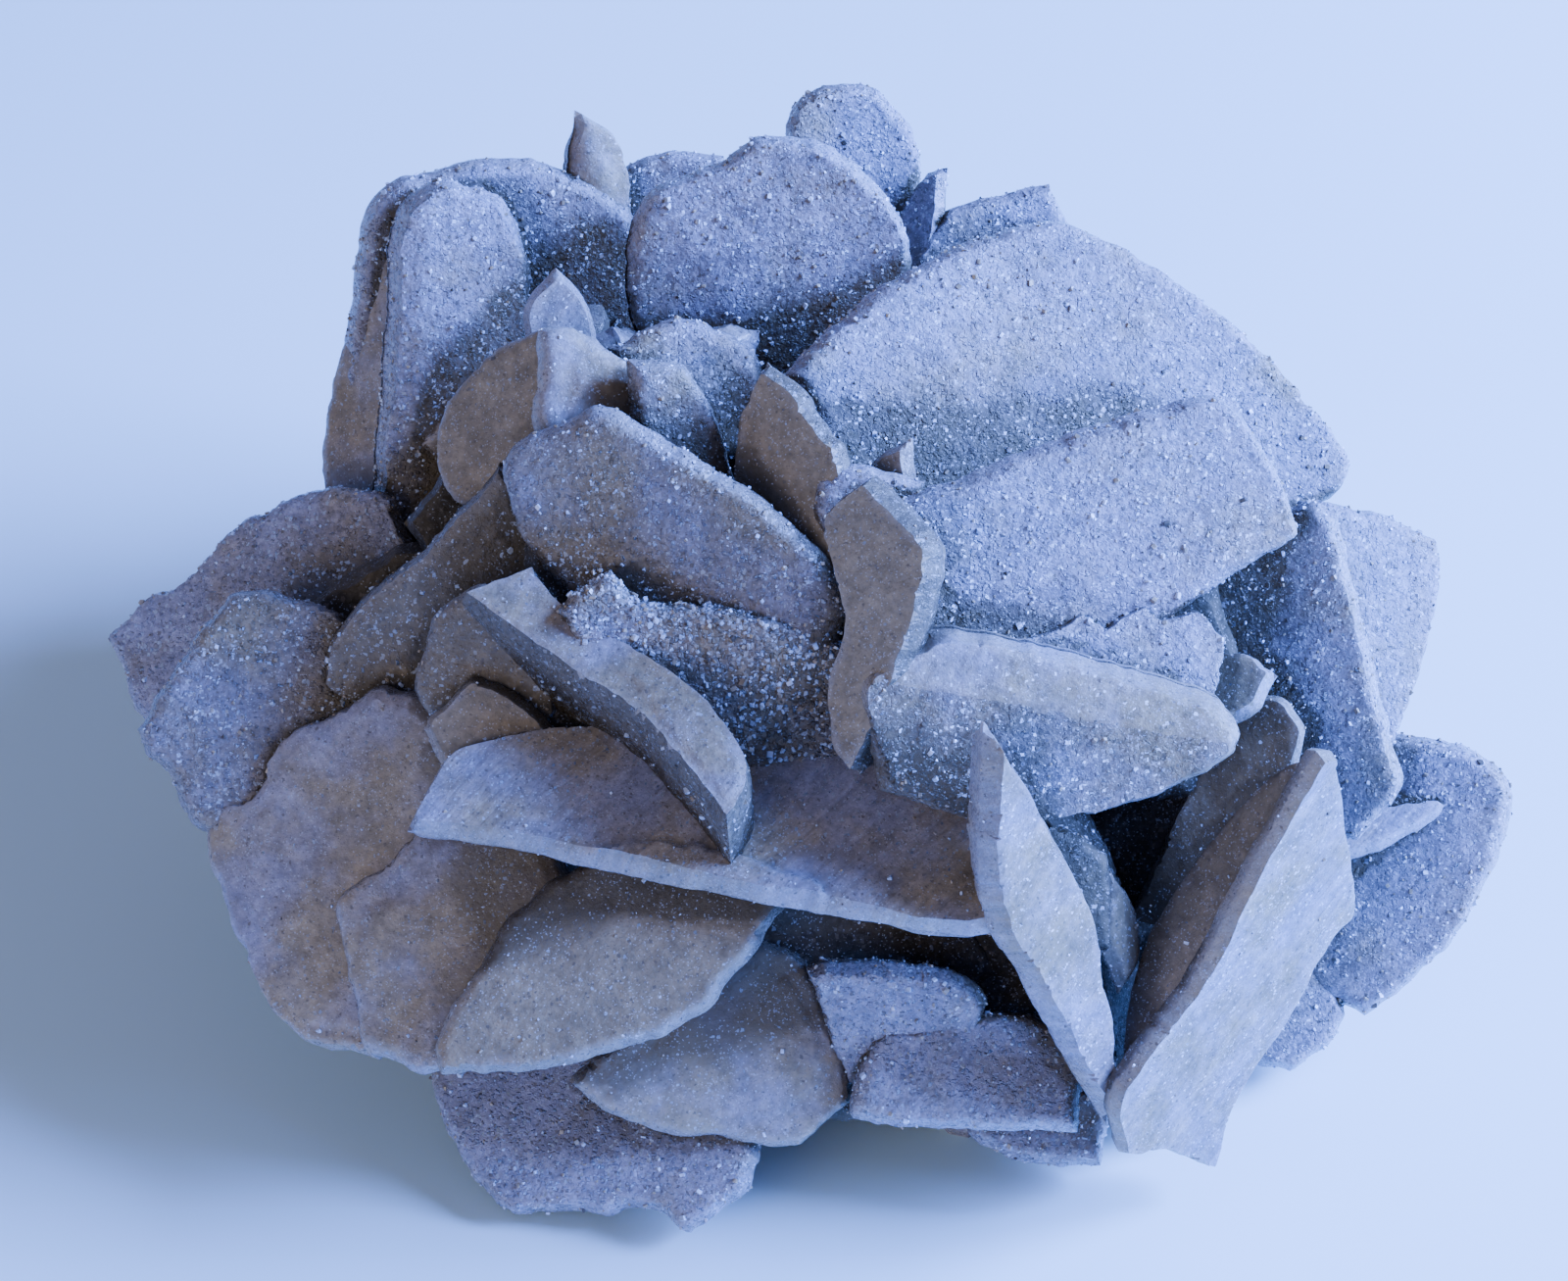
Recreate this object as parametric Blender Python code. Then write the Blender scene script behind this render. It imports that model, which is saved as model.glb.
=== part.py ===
"""Desert rose: one intergrown cluster of lens-shaped, sand-filled gypsum blades.

Every blade is a flat crystal with a bevelled rim. Its outline is written in millimetres as it
looks from the viewpoint, where u runs to the right and v runs up through the aim point, and is
carried along the sight lines onto the blade's own plane. The blades are joined in one solid that
rests on a flat cut at z = 0.
"""

import math
import random
from collections import namedtuple

import bmesh
import bpy
from mathutils import Vector

MM = 0.001
MERGE_DISTANCE = 1e-6

# Driving dimensions, in millimetres: the dome that the middles of the blades lie on
DOME_HALF_WIDTH = 63.0
DOME_HALF_DEPTH = 50.0
DOME_HALF_HEIGHT = 52.0
DOME_MIDDLE_HEIGHT = 18.0
HEART_SHARE = 0.66

# The viewpoint that the outlines are drawn from
EYE_RISE = math.radians(40.0)
EYE_DISTANCE = 450.0
AIM = Vector((-2.0, 0.0, 30.0))

# What puts the middle of the finished rose over the origin
SETTLE = Vector((-0.3, -1.7, 0.0))

# Blades: shared sizes, in millimetres
THICK = 4.0
EDGE = 1.3
BAND_FROM = 4.5
RIM_STEP = 7.0
BACK_RIM_STEP = 20.0

RIGHT = Vector((1.0, 0.0, 0.0))
UP = Vector((0.0, math.sin(EYE_RISE), math.cos(EYE_RISE)))
TO_EYE = Vector((0.0, -math.cos(EYE_RISE), math.sin(EYE_RISE)))
EYE = AIM + TO_EYE * EYE_DISTANCE

Blade = namedtuple("Blade", "name turn tip lift thick edge rim")


def blade(name, turn, tip, lift, rim, thick=THICK, edge=EDGE):
    """A blade whose face is turned to the right and tipped up, in degrees, and lifted in mm."""
    return Blade(name, math.radians(turn), math.radians(tip), lift, thick, edge, rim)


# Front steps and the leaves below them
LOWER_BLADES = [
    blade("long step", -8, 20, -0.5, [
        (-38.6, -18.6), (-36.5, -14.5), (-34, -10.8), (-29, -9.5), (-20, -8), (-8, -8),
        (6, -9), (18, -12), (24, -18), (24, -26), (20, -29.2), (9.7, -27.9), (-2, -25.9),
        (-19.3, -22.4), (-27.2, -20.5)], thick=3.5, edge=0.8),
    blade("leaning slab", 25, 18, 2.6, [
        (-32, 5.5), (-25.4, 8.5), (-21, 4.5), (-13, 1), (-6, -3), (-3.2, -8.5),
        (-3.3, -15), (-5.6, -18.5), (-9.4, -14.8), (-14.1, -7.5), (-18.4, -5), (-27, 1.1)],
        thick=9, edge=0.6),
    blade("lower lens", -5, 8, 5, [
        (-35.8, -41), (-35.2, -44.1), (-24.2, -43.6), (-16, -41.4), (-9.4, -38.6),
        (-4.6, -33.4), (0.2, -26.7), (-3, -22), (-14, -20), (-26, -26), (-32.8, -35)]),
    blade("left under plate", -10, 5, 5, [
        (-38.2, -18.9), (-41.7, -23.4), (-45.5, -25.8), (-46.3, -28.2), (-44.8, -35.4),
        (-43.1, -41.6), (-40, -43.3), (-35.5, -44), (-25, -40), (-20, -25), (-28, -16)]),
    blade("lower left plate", -15, 10, 2, [
        (-59.8, -21.3), (-57.2, -16.1), (-54.4, -14.4), (-52.4, -10.6), (-47.5, -7.9),
        (-41.7, -4.8), (-36, -6.2), (-30, -12), (-34, -30), (-42, -42.7), (-50.3, -40.2),
        (-54.4, -35.1), (-57.5, -26.5)]),
    blade("bottom left plate", -12, 10, 4, [
        (-36.5, -44.3), (-33.2, -52.7), (-29, -57.9), (-24.2, -58.2), (-13.9, -58.9),
        (-10, -60.3), (-3.6, -54.4), (-4, -45), (-15, -38), (-28, -36), (-35, -39)]),
    blade("bottom middle plate", 6, 0, 0, [
        (-21.8, -45), (-16, -40), (-6, -31), (2.3, -33), (6.5, -43), (6.8, -47.2),
        (0.9, -51.7), (-7, -50.7), (-11.1, -50.7), (-18.4, -48.1)]),
    blade("small dark blade", 0, -24, -3, [
        (2.5, -34.5), (4.9, -34), (11.8, -34), (18.7, -35.5), (20.7, -37.6), (18, -46),
        (6, -46)], thick=4),
    blade("gap plate", 5, -5, -11, [
        (-6, -24), (16, -24), (22, -33), (18, -40), (5, -40), (-4.5, -34)]),
    blade("front round plate", 0, 10, 2, [
        (6.6, -46.9), (7.6, -43.1), (9.7, -40), (13.5, -39.1), (24.9, -37.6), (31, -41),
        (30, -50), (15.9, -49.6), (8, -48.9)]),
    blade("front foot", 0, 10, 0, [
        (18.7, -48.2), (19.3, -50.7), (25.5, -53.2), (32.4, -53.4), (34, -46), (22, -42)]),
]

# The fin and the big slab that make a V at the right front
FRONT_RIGHT_BLADES = [
    blade("front fin", 35, -18, 10, [
        (21.9, -9.1), (24.4, -12.6), (29.8, -22.8), (32.8, -29.7), (34.2, -40), (34.4, -50.5),
        (26.5, -37), (22.1, -29), (21.4, -20)], thick=5, edge=0.8),
    blade("front slab", 45, -28, 12, [
        (55.2, -11.9), (56.9, -11.8), (57.6, -18.5), (58.6, -27.4), (55.9, -30.9),
        (51.8, -38.8), (46.6, -46.7), (44.2, -54.3), (39.7, -52.5), (34.9, -53), (34.5, -46.7),
        (41.8, -36.4), (48.7, -23.3)], thick=2.5, edge=0.4),
    blade("front slab back", -40, 15, 7.4, [
        (54.8, -11.9), (51, -12.5), (46, -17), (39, -26), (35, -36), (34, -46.4),
        (41.4, -36.4), (48.3, -23.3)], edge=0.4),
    blade("behind fin", 10, 0, 0, [
        (27, -18), (32.3, -20.8), (33.9, -23.6), (34, -32), (28, -32), (24, -22)], thick=10),
    blade("fin root", 5, -10, -2, [
        (23, -16), (26.5, -20), (31, -32), (33, -43), (27, -38), (22, -29)], thick=14),
    blade("small leaf", 40, 0, 2, [
        (34.2, -23.5), (36.2, -26.5), (37.1, -32), (35, -36), (33, -30)], thick=2.5, edge=0.8),
    blade("shadow plate", 10, -10, -8, [
        (24, -14), (42, -12), (46, -24), (38, -38), (28, -32)], thick=10),
    blade("dark inner blade", -30, -5, -4, [
        (45, -6), (49.2, -5.6), (51.7, -7.2), (52.5, -11.8), (47, -24), (38, -36), (34, -30),
        (40, -17)], thick=5),
    blade("inner wall", 15, -20, -2, [
        (30, -30), (44, -28), (46, -44), (40, -51), (30, -49)]),
]

# The middle of the rose
MIDDLE_BLADES = [
    blade("sandy centre", 5, -2, -2.5, [
        (-23.2, 2.8), (-21.1, 4.8), (-17.7, 7.2), (-13.4, 3.8), (-6.1, 3.6), (1.2, 1.8),
        (8, -2), (9, -12), (3, -16), (-6, -15), (-16, -7)], thick=5),
    blade("centre leaf", -5, -12, -1, [
        (-29.2, 15), (-28, 19.5), (-22, 22.7), (-18.7, 23.5), (-12.1, 19.7), (-3.8, 14.7),
        (3.2, 8.7), (7, 3), (2, -4), (-8, -4), (-18, 1), (-25, 7)]),
    blade("standing blade", -35, -5, 8, [
        (8, 16.6), (11.1, 13.4), (14.1, 10.4), (14.8, 7.7), (13.6, 2.1), (10, -7.8),
        (6.6, -13.9), (4.3, -10.1), (4.3, -4.1), (5.7, 2), (3.4, 11), (4.5, 14.3)],
        edge=0.8),
    blade("brown blade", -30, -5, 0, [
        (-2.5, 28.5), (0.6, 26.2), (3.1, 22.1), (5.8, 18.2), (6, 8), (0, 4), (-5, 12),
        (-5.6, 20)], thick=3, edge=0.8),
    blade("small arc", 5, -10, 1, [
        (3.1, 14), (4.5, 16.7), (6.8, 17.7), (11.1, 17.4), (14.4, 15.9), (15, 9), (5, 8)],
        thick=3),
    blade("tan shard", -30, 0, 0, [
        (8.4, 18), (12.4, 20.8), (12.8, 15), (8, 13)], thick=2.5, edge=0.6),
    blade("right centre slab", 10, -5, 5, [
        (11, 13), (20.2, 17.1), (28.3, 20.3), (34.4, 22.4), (43, 24.6), (46.7, 23.2),
        (50, 18.7), (52.8, 11.8), (52, 9.7), (44.7, 5.2), (38.1, 2.8), (25.5, 0),
        (12, -2), (8, 5)], thick=5),
    blade("right lens", 5, -12, 6, [
        (8, -7), (14, -4.8), (22, -5), (32, -7.2), (40, -9.2), (46.4, -11.3), (45.8, -12.5),
        (37.4, -16.7), (27.3, -18.8), (19.3, -18.8), (10, -15.8)], thick=5, edge=0.4),
    blade("right lens top", 5, 22, 7.2, [
        (9.5, -3), (14, -0.1), (16.3, 0.6), (27.7, -1.7), (39.5, -4.9), (44.5, -6.6),
        (46.8, -9.4), (46.2, -11.3), (36, -9), (24, -6.5), (12, -6), (9.5, -6.5)], edge=0.6),
    blade("small tan blade", -10, 15, -3.5, [
        (34.6, -3.6), (39, -2.1), (46.1, -0.7), (50.3, -2.3), (49.7, -4.1), (46.1, -9),
        (38, -13)], thick=4, edge=0.8),
    blade("jagged piece", 5, 10, 1, [
        (22, 3), (30, 4), (38, 4), (45.8, 0.8), (42, -3), (34, -5), (24, -3)],
        thick=3, edge=0.8),
    blade("left of slab", -10, -15, -2, [
        (-30, 5), (-35.2, 3), (-36.9, -0.8), (-37.9, -5.3), (-34, -10), (-24, -10), (-22, 0)],
        thick=3),
    blade("little ledges", -5, 5, -1, [
        (-37.2, -8.9), (-33.4, -4.8), (-31.4, -3.7), (-27.2, -5.5), (-22, -10), (-35, -13)],
        thick=3, edge=0.8),
]

# The tall blades along the top and the back
UPPER_BLADES = [
    blade("big upper slab", 16, 4, -1, [
        (0.8, 27.3), (5, 31.8), (12, 37.3), (20.6, 41.5), (26.3, 43), (30.4, 42.6),
        (38.5, 38.3), (48.7, 30.5), (54.9, 23.2), (58.7, 18.5), (56.9, 15), (50, 11),
        (32, 5), (15, 9), (5, 18)], thick=5),
    blade("slab behind", 10, -15, -6, [
        (13, 38), (15.1, 41.5), (18.1, 44), (27.4, 46.4), (31, 38), (20, 30)], thick=3),
    blade("top round blade", 2, -8, 0, [
        (-12, 46.5), (-7, 48.4), (-2.5, 51), (4.4, 50.3), (10.3, 45.5), (13, 38.3),
        (9, 29), (0, 20), (-4, 24), (-3, 32), (-7, 38), (-11.5, 43.5)], thick=5),
    blade("top round facet", -26, -12, -6.5, [
        (-15.2, 44.1), (-11, 47), (-9, 43), (-3, 34), (1, 24), (-6, 24), (-14.9, 30.5),
        (-16.1, 38.6)], edge=0.6),
    blade("back round blade", 12, -12, -8, [
        (0.5, 51.4), (2.7, 55.5), (7.9, 56.7), (12.4, 53.8), (14.3, 50), (14, 38), (11, 21),
        (2, 21), (0, 38)]),
    blade("thin shard", -30, 0, -6, [
        (16.1, 48.3), (14.1, 47.9), (11.3, 43.8), (11, 38), (15, 36)], thick=2.5, edge=0.8),
    blade("little upright", 25, -10, 5.5, [
        (-20.6, 53.8), (-17.6, 52.1), (-15.5, 48), (-15, 35), (-20, 30), (-21.5, 45)],
        thick=3.5, edge=0.8),
    blade("low arch", 0, -15, -2, [
        (-17.6, 47), (-15.8, 48.2), (-12.1, 49.5), (-6.2, 49.1), (-3, 28), (-14, 26)]),
    blade("left back slab", 12, -14, 0, [
        (-41.5, 45), (-35, 47.8), (-28, 49), (-20, 47.3), (-14, 41), (-13, 27), (-28, 14),
        (-41, 10), (-44.5, 22), (-44, 35)], thick=5),
    blade("left upright leaf", 14, -16, 4, [
        (-39.5, 42.3), (-36, 46.3), (-32, 46.3), (-28, 44.3), (-25.5, 37), (-26, 24),
        (-33, 8), (-41.8, 4), (-41.2, 19.3), (-40, 33)]),
    blade("left side blade", -35, 0, -5, [
        (-43, 39), (-46, 30), (-47.9, 17), (-45, 8), (-40, 8), (-39, 25), (-40, 40)]),
    blade("tan triangle", -10, 10, 1, [
        (-45.5, 15.5), (-41.5, 21.5), (-39.8, 13.8), (-39, 4), (-44, 6)], thick=4, edge=0.5),
    blade("pale triangle", 10, -10, 0, [
        (-23.1, 37.9), (-26.2, 34.1), (-25.8, 28), (-18.5, 28), (-19.9, 34.1)],
        thick=3, edge=0.8),
    blade("roof left", -32, 4, 1, [
        (-33.5, 26.4), (-30.1, 30), (-25, 32.3), (-22.5, 31), (-21, 22), (-26, 11),
        (-34, 14), (-36, 21)]),
    blade("roof right", 12, 4, 0, [
        (-25, 32.3), (-21.2, 32.1), (-16.1, 29), (-12.3, 25.2), (-8, 18.8), (-10, 10),
        (-20, 10), (-25, 22)]),
    blade("blade behind leaf", 15, -5, -2, [
        (-16, 29), (-10.4, 28.4), (-6.2, 22.2), (-4.9, 17), (-2, 8), (-14, 12)]),
    blade("small slab", 5, 5, -3, [
        (-17.8, 30.1), (-12.1, 32.9), (-7.3, 32.5), (-2.5, 28.9), (0, 18), (-14, 20)]),
]

# The outer plates at the two sides
SIDE_BLADES = [
    blade("outer left plate", -15, 15, 2, [
        (-69.9, 0.5), (-65.1, 5.1), (-61.3, 6.5), (-54.8, 13.4), (-47.9, 16.3), (-40, 15),
        (-36, 4), (-46, -8), (-60, -12), (-66, -8.6), (-68.2, -3.1)]),
    blade("left front plate", -10, 5, 4, [
        (-66, -9), (-61, -0.7), (-56.5, 4.6), (-51.3, 5.5), (-45.1, 2.9), (-38, -4),
        (-44, -14), (-55, -20), (-59.6, -19.1), (-63.7, -13.8)]),
    blade("diagonal dark blade", 20, -20, -1, [
        (-30, 17.5), (-37.6, 9.6), (-45.5, 2), (-47, -4), (-38, -10), (-26, -2), (-23, 12)],
        thick=3),
    blade("tall right blade", -12, -12, 0, [
        (52.5, 13.7), (56.3, 12.9), (58.8, 1.5), (62.2, -11.5), (62.6, -15.7), (58.4, -20.8),
        (48, -18), (42, -6), (44, 8)]),
    blade("pale right blade", 24, 0, 3, [
        (54, 14.3), (60.2, 13.5), (67.1, 10.6), (67.5, 5.3), (65.5, -2.6), (62.6, -12),
        (54, -12), (48, 4)], thick=5),
    blade("far right blade", -8, -2, 14, [
        (60, -10.5), (65.9, -10), (70.4, -10.5), (74, -14), (71, -22.5), (66.2, -30.4),
        (58.3, -38.7), (52, -34), (50, -18)], thick=5),
    blade("far right ledge", 0, 30, 6, [
        (56, -21.1), (62.4, -17), (67.9, -16.3), (65.9, -18.4), (60, -24), (54, -24)],
        thick=2.5, edge=0.6),
    blade("right root", 15, 0, -2, [
        (42, -12), (55, -14), (57.5, -22), (56, -29), (51, -36), (42, -34)], thick=12),
    blade("lower right leaf", 5, 5, -2, [
        (54, -26), (57.3, -35.6), (56.6, -40.4), (52.1, -44), (45, -41), (42, -28)],
        thick=5),
]

# Blades deep inside, seen only in the gaps, where the outer ones are rooted
INNER_BLADES = [
    blade("inner middle", 0, 0, -9, [
        (-27, 10), (-8, 14), (10, 12), (17, -4), (12, -16), (-8, -18), (-26, -10)], thick=12),
    blade("inner top", 0, 0, -17, [
        (-26, 34), (-12, 36), (6, 30), (14, 20), (12, 6), (-14, 6), (-30, 16)], thick=14),
    blade("inner right", 0, 0, -11, [
        (10, 12), (28, 16), (44, 10), (48, -4), (40, -16), (16, -18), (8, -4)], thick=12),
    blade("inner low", 0, 0, -12, [
        (-16, -18), (4, -22), (24, -18), (30, -32), (26, -48), (4, -49), (-14, -42)], thick=12),
    blade("inner left", -10, 0, -15, [
        (-44, 16), (-28, 18), (-20, -4), (-18, -30), (-32, -38), (-46, -26), (-52, -4)],
        thick=12),
    blade("inner foot", 10, -10, -10, [
        (26, -20), (44, -22), (48, -36), (42, -48), (30, -50), (24, -36)], thick=10),
]

FRONT_BLADES = (
    LOWER_BLADES + FRONT_RIGHT_BLADES + MIDDLE_BLADES + UPPER_BLADES + SIDE_BLADES
    + INNER_BLADES)

# Blades round the back: rows of petals from low to high, with turns in degrees
BackRow = namedtuple("BackRow", "rise first last count half_width half_height lean reach")
BACK_ROWS = [
    BackRow(-12, 8, 172, 8, 19, 15, 14, 0.9),
    BackRow(14, 20, 143, 7, 18, 15, 22, 0.87),
    BackRow(36, 36, 134, 5, 15, 14, 30, 0.86),
    BackRow(56, 30, 150, 4, 15, 12, 36, 0.86),
    BackRow(-22, 186, 250, 4, 15, 12, 8, 0.72),
    BackRow(-22, 300, 352, 3, 15, 12, 8, 0.72),
]
BACK_SEED = 7
BACK_CORNERS = 8


def dome_point(origin, direction):
    """Where a sight line first meets the dome, or its nearest approach where it misses."""
    shape = Vector((DOME_HALF_WIDTH, DOME_HALF_DEPTH, DOME_HALF_HEIGHT))
    middle = Vector((0.0, 0.0, DOME_MIDDLE_HEIGHT))
    start = Vector(a / b for a, b in zip(origin - middle, shape))
    run = Vector(a / b for a, b in zip(direction, shape))
    half_b = start.dot(run) / run.dot(run)
    c = (start.dot(start) - 1.0) / run.dot(run)
    inside = max(0.0, half_b * half_b - c)
    return origin + direction * (-half_b - math.sqrt(inside))


def sight(u, v):
    """The direction of the sight line through (u, v), one unit of depth long per EYE_DISTANCE."""
    return AIM + RIGHT * u + UP * v - EYE


def blade_plane(row):
    """The middle point and the outward normal of a front blade's plane."""
    middle_u = sum(u for u, v in row.rim) / len(row.rim)
    middle_v = sum(v for u, v in row.rim) / len(row.rim)
    normal = (
        RIGHT * math.sin(row.turn) * math.cos(row.tip)
        + UP * math.sin(row.tip)
        + TO_EYE * math.cos(row.turn) * math.cos(row.tip)
    )
    middle = dome_point(EYE, sight(middle_u, middle_v)) + TO_EYE * row.lift
    return middle, normal


def carried(u, v, middle, normal):
    """The point of a blade's plane that is seen at (u, v)."""
    line = sight(u, v)
    return EYE + line * ((middle - EYE).dot(normal) / line.dot(normal))


def smooth_outline(points, step):
    """Points along a closed smooth curve through the given ones, about a step apart."""
    found = []
    count = len(points)
    for i in range(count):
        before, start, end, after = (points[(i + k) % count] for k in (-1, 0, 1, 2))
        pieces = max(1, round((end - start).length / step))
        for k in range(pieces):
            t = k / pieces
            found.append(
                0.5 * (2 * start + (end - before) * t
                       + (2 * before - 5 * start + 4 * end - after) * t * t
                       + (3 * start - before - 3 * end + after) * t ** 3))
    return found


def crystal(rim, normal, thick, edge):
    """A closed blade: two flat faces and bevels that meet at a rim, or at a band if it is thick."""
    bm = bmesh.new()
    band = max(0.0, thick - BAND_FROM)
    face = bm.faces.new([bm.verts.new((p + normal * band / 2) * MM) for p in rim])
    face.normal_update()
    if face.normal.dot(normal) < 0:
        face.normal_flip()
    twin = bmesh.ops.duplicate(bm, geom=[face])["geom"]
    twin_face = next(g for g in twin if isinstance(g, bmesh.types.BMFace))
    twin_rim = [g for g in twin if isinstance(g, bmesh.types.BMVert)]
    bmesh.ops.translate(bm, verts=twin_rim, vec=normal * (-band * MM))
    twin_face.normal_flip()
    if band:
        rims = [g for g in bm.edges if g.is_boundary]
        bmesh.ops.bridge_loops(bm, edges=rims)
    bmesh.ops.inset_region(
        bm, faces=[face, twin_face], thickness=edge * MM, use_even_offset=True,
        use_boundary=True, depth=(thick - band) / 2 * MM)
    bmesh.ops.remove_doubles(bm, verts=bm.verts, dist=MERGE_DISTANCE)
    bmesh.ops.recalc_face_normals(bm, faces=bm.faces)
    return bm


def back_blades():
    """Outlines and planes of the blades round the back, spread in rows by rule."""
    rng = random.Random(BACK_SEED)
    shape = Vector((DOME_HALF_WIDTH, DOME_HALF_DEPTH, DOME_HALF_HEIGHT))
    found = []
    for row in BACK_ROWS:
        for k in range(row.count):
            share = k / (row.count - 1)
            angle = math.radians(row.first + (row.last - row.first) * share)
            rise = math.radians(row.rise + rng.uniform(-4, 4))
            out = Vector((
                math.cos(angle) * math.cos(rise), math.sin(angle) * math.cos(rise),
                math.sin(rise)))
            middle = Vector((0, 0, DOME_MIDDLE_HEIGHT)) + Vector(
                a * b for a, b in zip(out, shape)) * (row.reach + rng.uniform(-0.04, 0.04))
            side_turn = angle + math.radians(rng.choice((-1, 1)) * rng.uniform(15, 62))
            lean = math.radians(row.lean + rng.uniform(-14, 14))
            normal = Vector((
                math.cos(side_turn) * math.cos(lean), math.sin(side_turn) * math.cos(lean),
                math.sin(lean)))
            across = normal.cross(Vector((0, 0, 1))).normalized()
            upward = across.cross(normal).normalized()
            slant = math.radians(rng.uniform(-35, 35))
            rim = []
            for j in range(BACK_CORNERS):
                turn = math.tau * j / BACK_CORNERS
                reach = rng.uniform(0.86, 1.12)
                x = math.cos(turn) * row.half_width * reach
                y = math.sin(turn) * row.half_height * reach
                rim.append(
                    middle
                    + across * (x * math.cos(slant) - y * math.sin(slant))
                    + upward * (x * math.sin(slant) + y * math.cos(slant)))
            found.append((rim, normal, rng.uniform(3.2, 4.6), EDGE))
    return found


def sandy_gypsum():
    """The one material: greyish tan gypsum, dull with sand."""
    material = bpy.data.materials.new("sandy gypsum")
    material.use_nodes = True
    shader = material.node_tree.nodes["Principled BSDF"]
    shader.inputs["Base Color"].default_value = (0.42, 0.38, 0.37, 1.0)
    shader.inputs["Roughness"].default_value = 0.7
    shader.inputs["Metallic"].default_value = 0.0
    return material


def mesh_object(name, bm, collection):
    """A new object from a bmesh, in the given collection."""
    mesh = bpy.data.meshes.new(name)
    bm.to_mesh(mesh)
    bm.free()
    piece = bpy.data.objects.new(name, mesh)
    collection.objects.link(piece)
    return piece


def heart(collection):
    """The solid middle where all the blades meet."""
    bm = bmesh.new()
    bmesh.ops.create_icosphere(bm, subdivisions=2, radius=1.0)
    size = Vector((DOME_HALF_WIDTH, DOME_HALF_DEPTH, DOME_HALF_HEIGHT)) * HEART_SHARE * MM
    bmesh.ops.scale(bm, vec=size, verts=bm.verts)
    bmesh.ops.translate(bm, vec=(0, 0, DOME_MIDDLE_HEIGHT * MM), verts=bm.verts)
    return mesh_object("heart", bm, collection)


def floor_cutter(collection):
    """A block below z = 0, which cuts the flat face that the rose rests on."""
    bm = bmesh.new()
    bmesh.ops.create_cube(bm, size=1.0)
    bmesh.ops.scale(bm, vec=(0.4, 0.4, 0.1), verts=bm.verts)
    bmesh.ops.translate(bm, vec=(0, 0, -0.05), verts=bm.verts)
    return mesh_object("floor cutter", bm, collection)


def hide_helper(piece):
    """Helpers stay out of the model."""
    piece.hide_render = True
    piece.display_type = "WIRE"


def outer_shell(mesh):
    """Fills sealed pockets: only the largest connected surface is kept, and set over the origin."""
    bm = bmesh.new()
    bm.from_mesh(mesh)
    bmesh.ops.remove_doubles(bm, verts=bm.verts, dist=MERGE_DISTANCE)
    bmesh.ops.dissolve_degenerate(bm, edges=bm.edges, dist=MERGE_DISTANCE)
    waiting = set(bm.verts)
    shells = []
    while waiting:
        reached = {waiting.pop()}
        edge_of_search = list(reached)
        while edge_of_search:
            vert = edge_of_search.pop()
            for link in vert.link_edges:
                other = link.other_vert(vert)
                if other in waiting:
                    waiting.discard(other)
                    reached.add(other)
                    edge_of_search.append(other)
        shells.append(reached)
    shells.sort(key=len)
    for shell in shells[:-1]:
        bmesh.ops.delete(bm, geom=list(shell), context="VERTS")
    bmesh.ops.triangulate(bm, faces=bm.faces)
    bmesh.ops.translate(bm, verts=bm.verts, vec=SETTLE * MM)
    bm.to_mesh(mesh)
    bm.free()


def main():
    for old in list(bpy.data.objects):
        bpy.data.objects.remove(old)
    scene_collection = bpy.context.scene.collection
    crystals = bpy.data.collections.new("crystals")
    scene_collection.children.link(crystals)

    for row in FRONT_BLADES:
        middle, normal = blade_plane(row)
        outline = [Vector((u, v, 0.0)) for u, v in row.rim]
        if row not in INNER_BLADES:
            outline = smooth_outline(outline, RIM_STEP)
        rim = [
            carried(p.x, p.y, middle, normal) - normal * (row.thick / 2) for p in outline]
        hide_helper(mesh_object(row.name, crystal(rim, normal, row.thick, row.edge), crystals))
    for rim, normal, thick, edge in back_blades():
        rim = smooth_outline(rim, BACK_RIM_STEP)
        hide_helper(mesh_object("back blade", crystal(rim, normal, thick, edge), crystals))

    rose = heart(scene_collection)
    cutter = floor_cutter(scene_collection)
    hide_helper(cutter)
    joined = rose.modifiers.new("grown together", "BOOLEAN")
    joined.operation = "UNION"
    joined.solver = "EXACT"
    joined.operand_type = "COLLECTION"
    joined.collection = crystals
    cut = rose.modifiers.new("flat base", "BOOLEAN")
    cut.operation = "DIFFERENCE"
    cut.solver = "EXACT"
    cut.object = cutter

    bpy.context.view_layer.update()
    depsgraph = bpy.context.evaluated_depsgraph_get()
    mesh = bpy.data.meshes.new_from_object(rose.evaluated_get(depsgraph))
    outer_shell(mesh)
    rose.modifiers.clear()
    rose.data = mesh
    rose.name = "desert_rose"
    mesh.name = "desert_rose"
    mesh.materials.clear()
    mesh.materials.append(sandy_gypsum())
    for helper in list(crystals.objects) + [cutter]:
        bpy.data.objects.remove(helper)
    bpy.data.collections.remove(crystals)


main()
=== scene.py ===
"""Desert rose: the finished look of one intergrown cluster of sandy gypsum blades.

Each blade is a flat crystal whose outline is written in millimetres as it looks from the viewpoint,
where u runs to the right and v runs up. It is carried onto the blade's own plane, given thickness,
bevelled rims and growth steps, and then worn and roughened point by point. Sand is stuck on the
blades, and brown dust with painted shade darkens the gaps between them.
"""

import math
import random
from collections import namedtuple

import bmesh
import bpy
import numpy as np
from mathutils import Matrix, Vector
from mathutils.bvhtree import BVHTree
from mathutils.geometry import delaunay_2d_cdt


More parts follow.
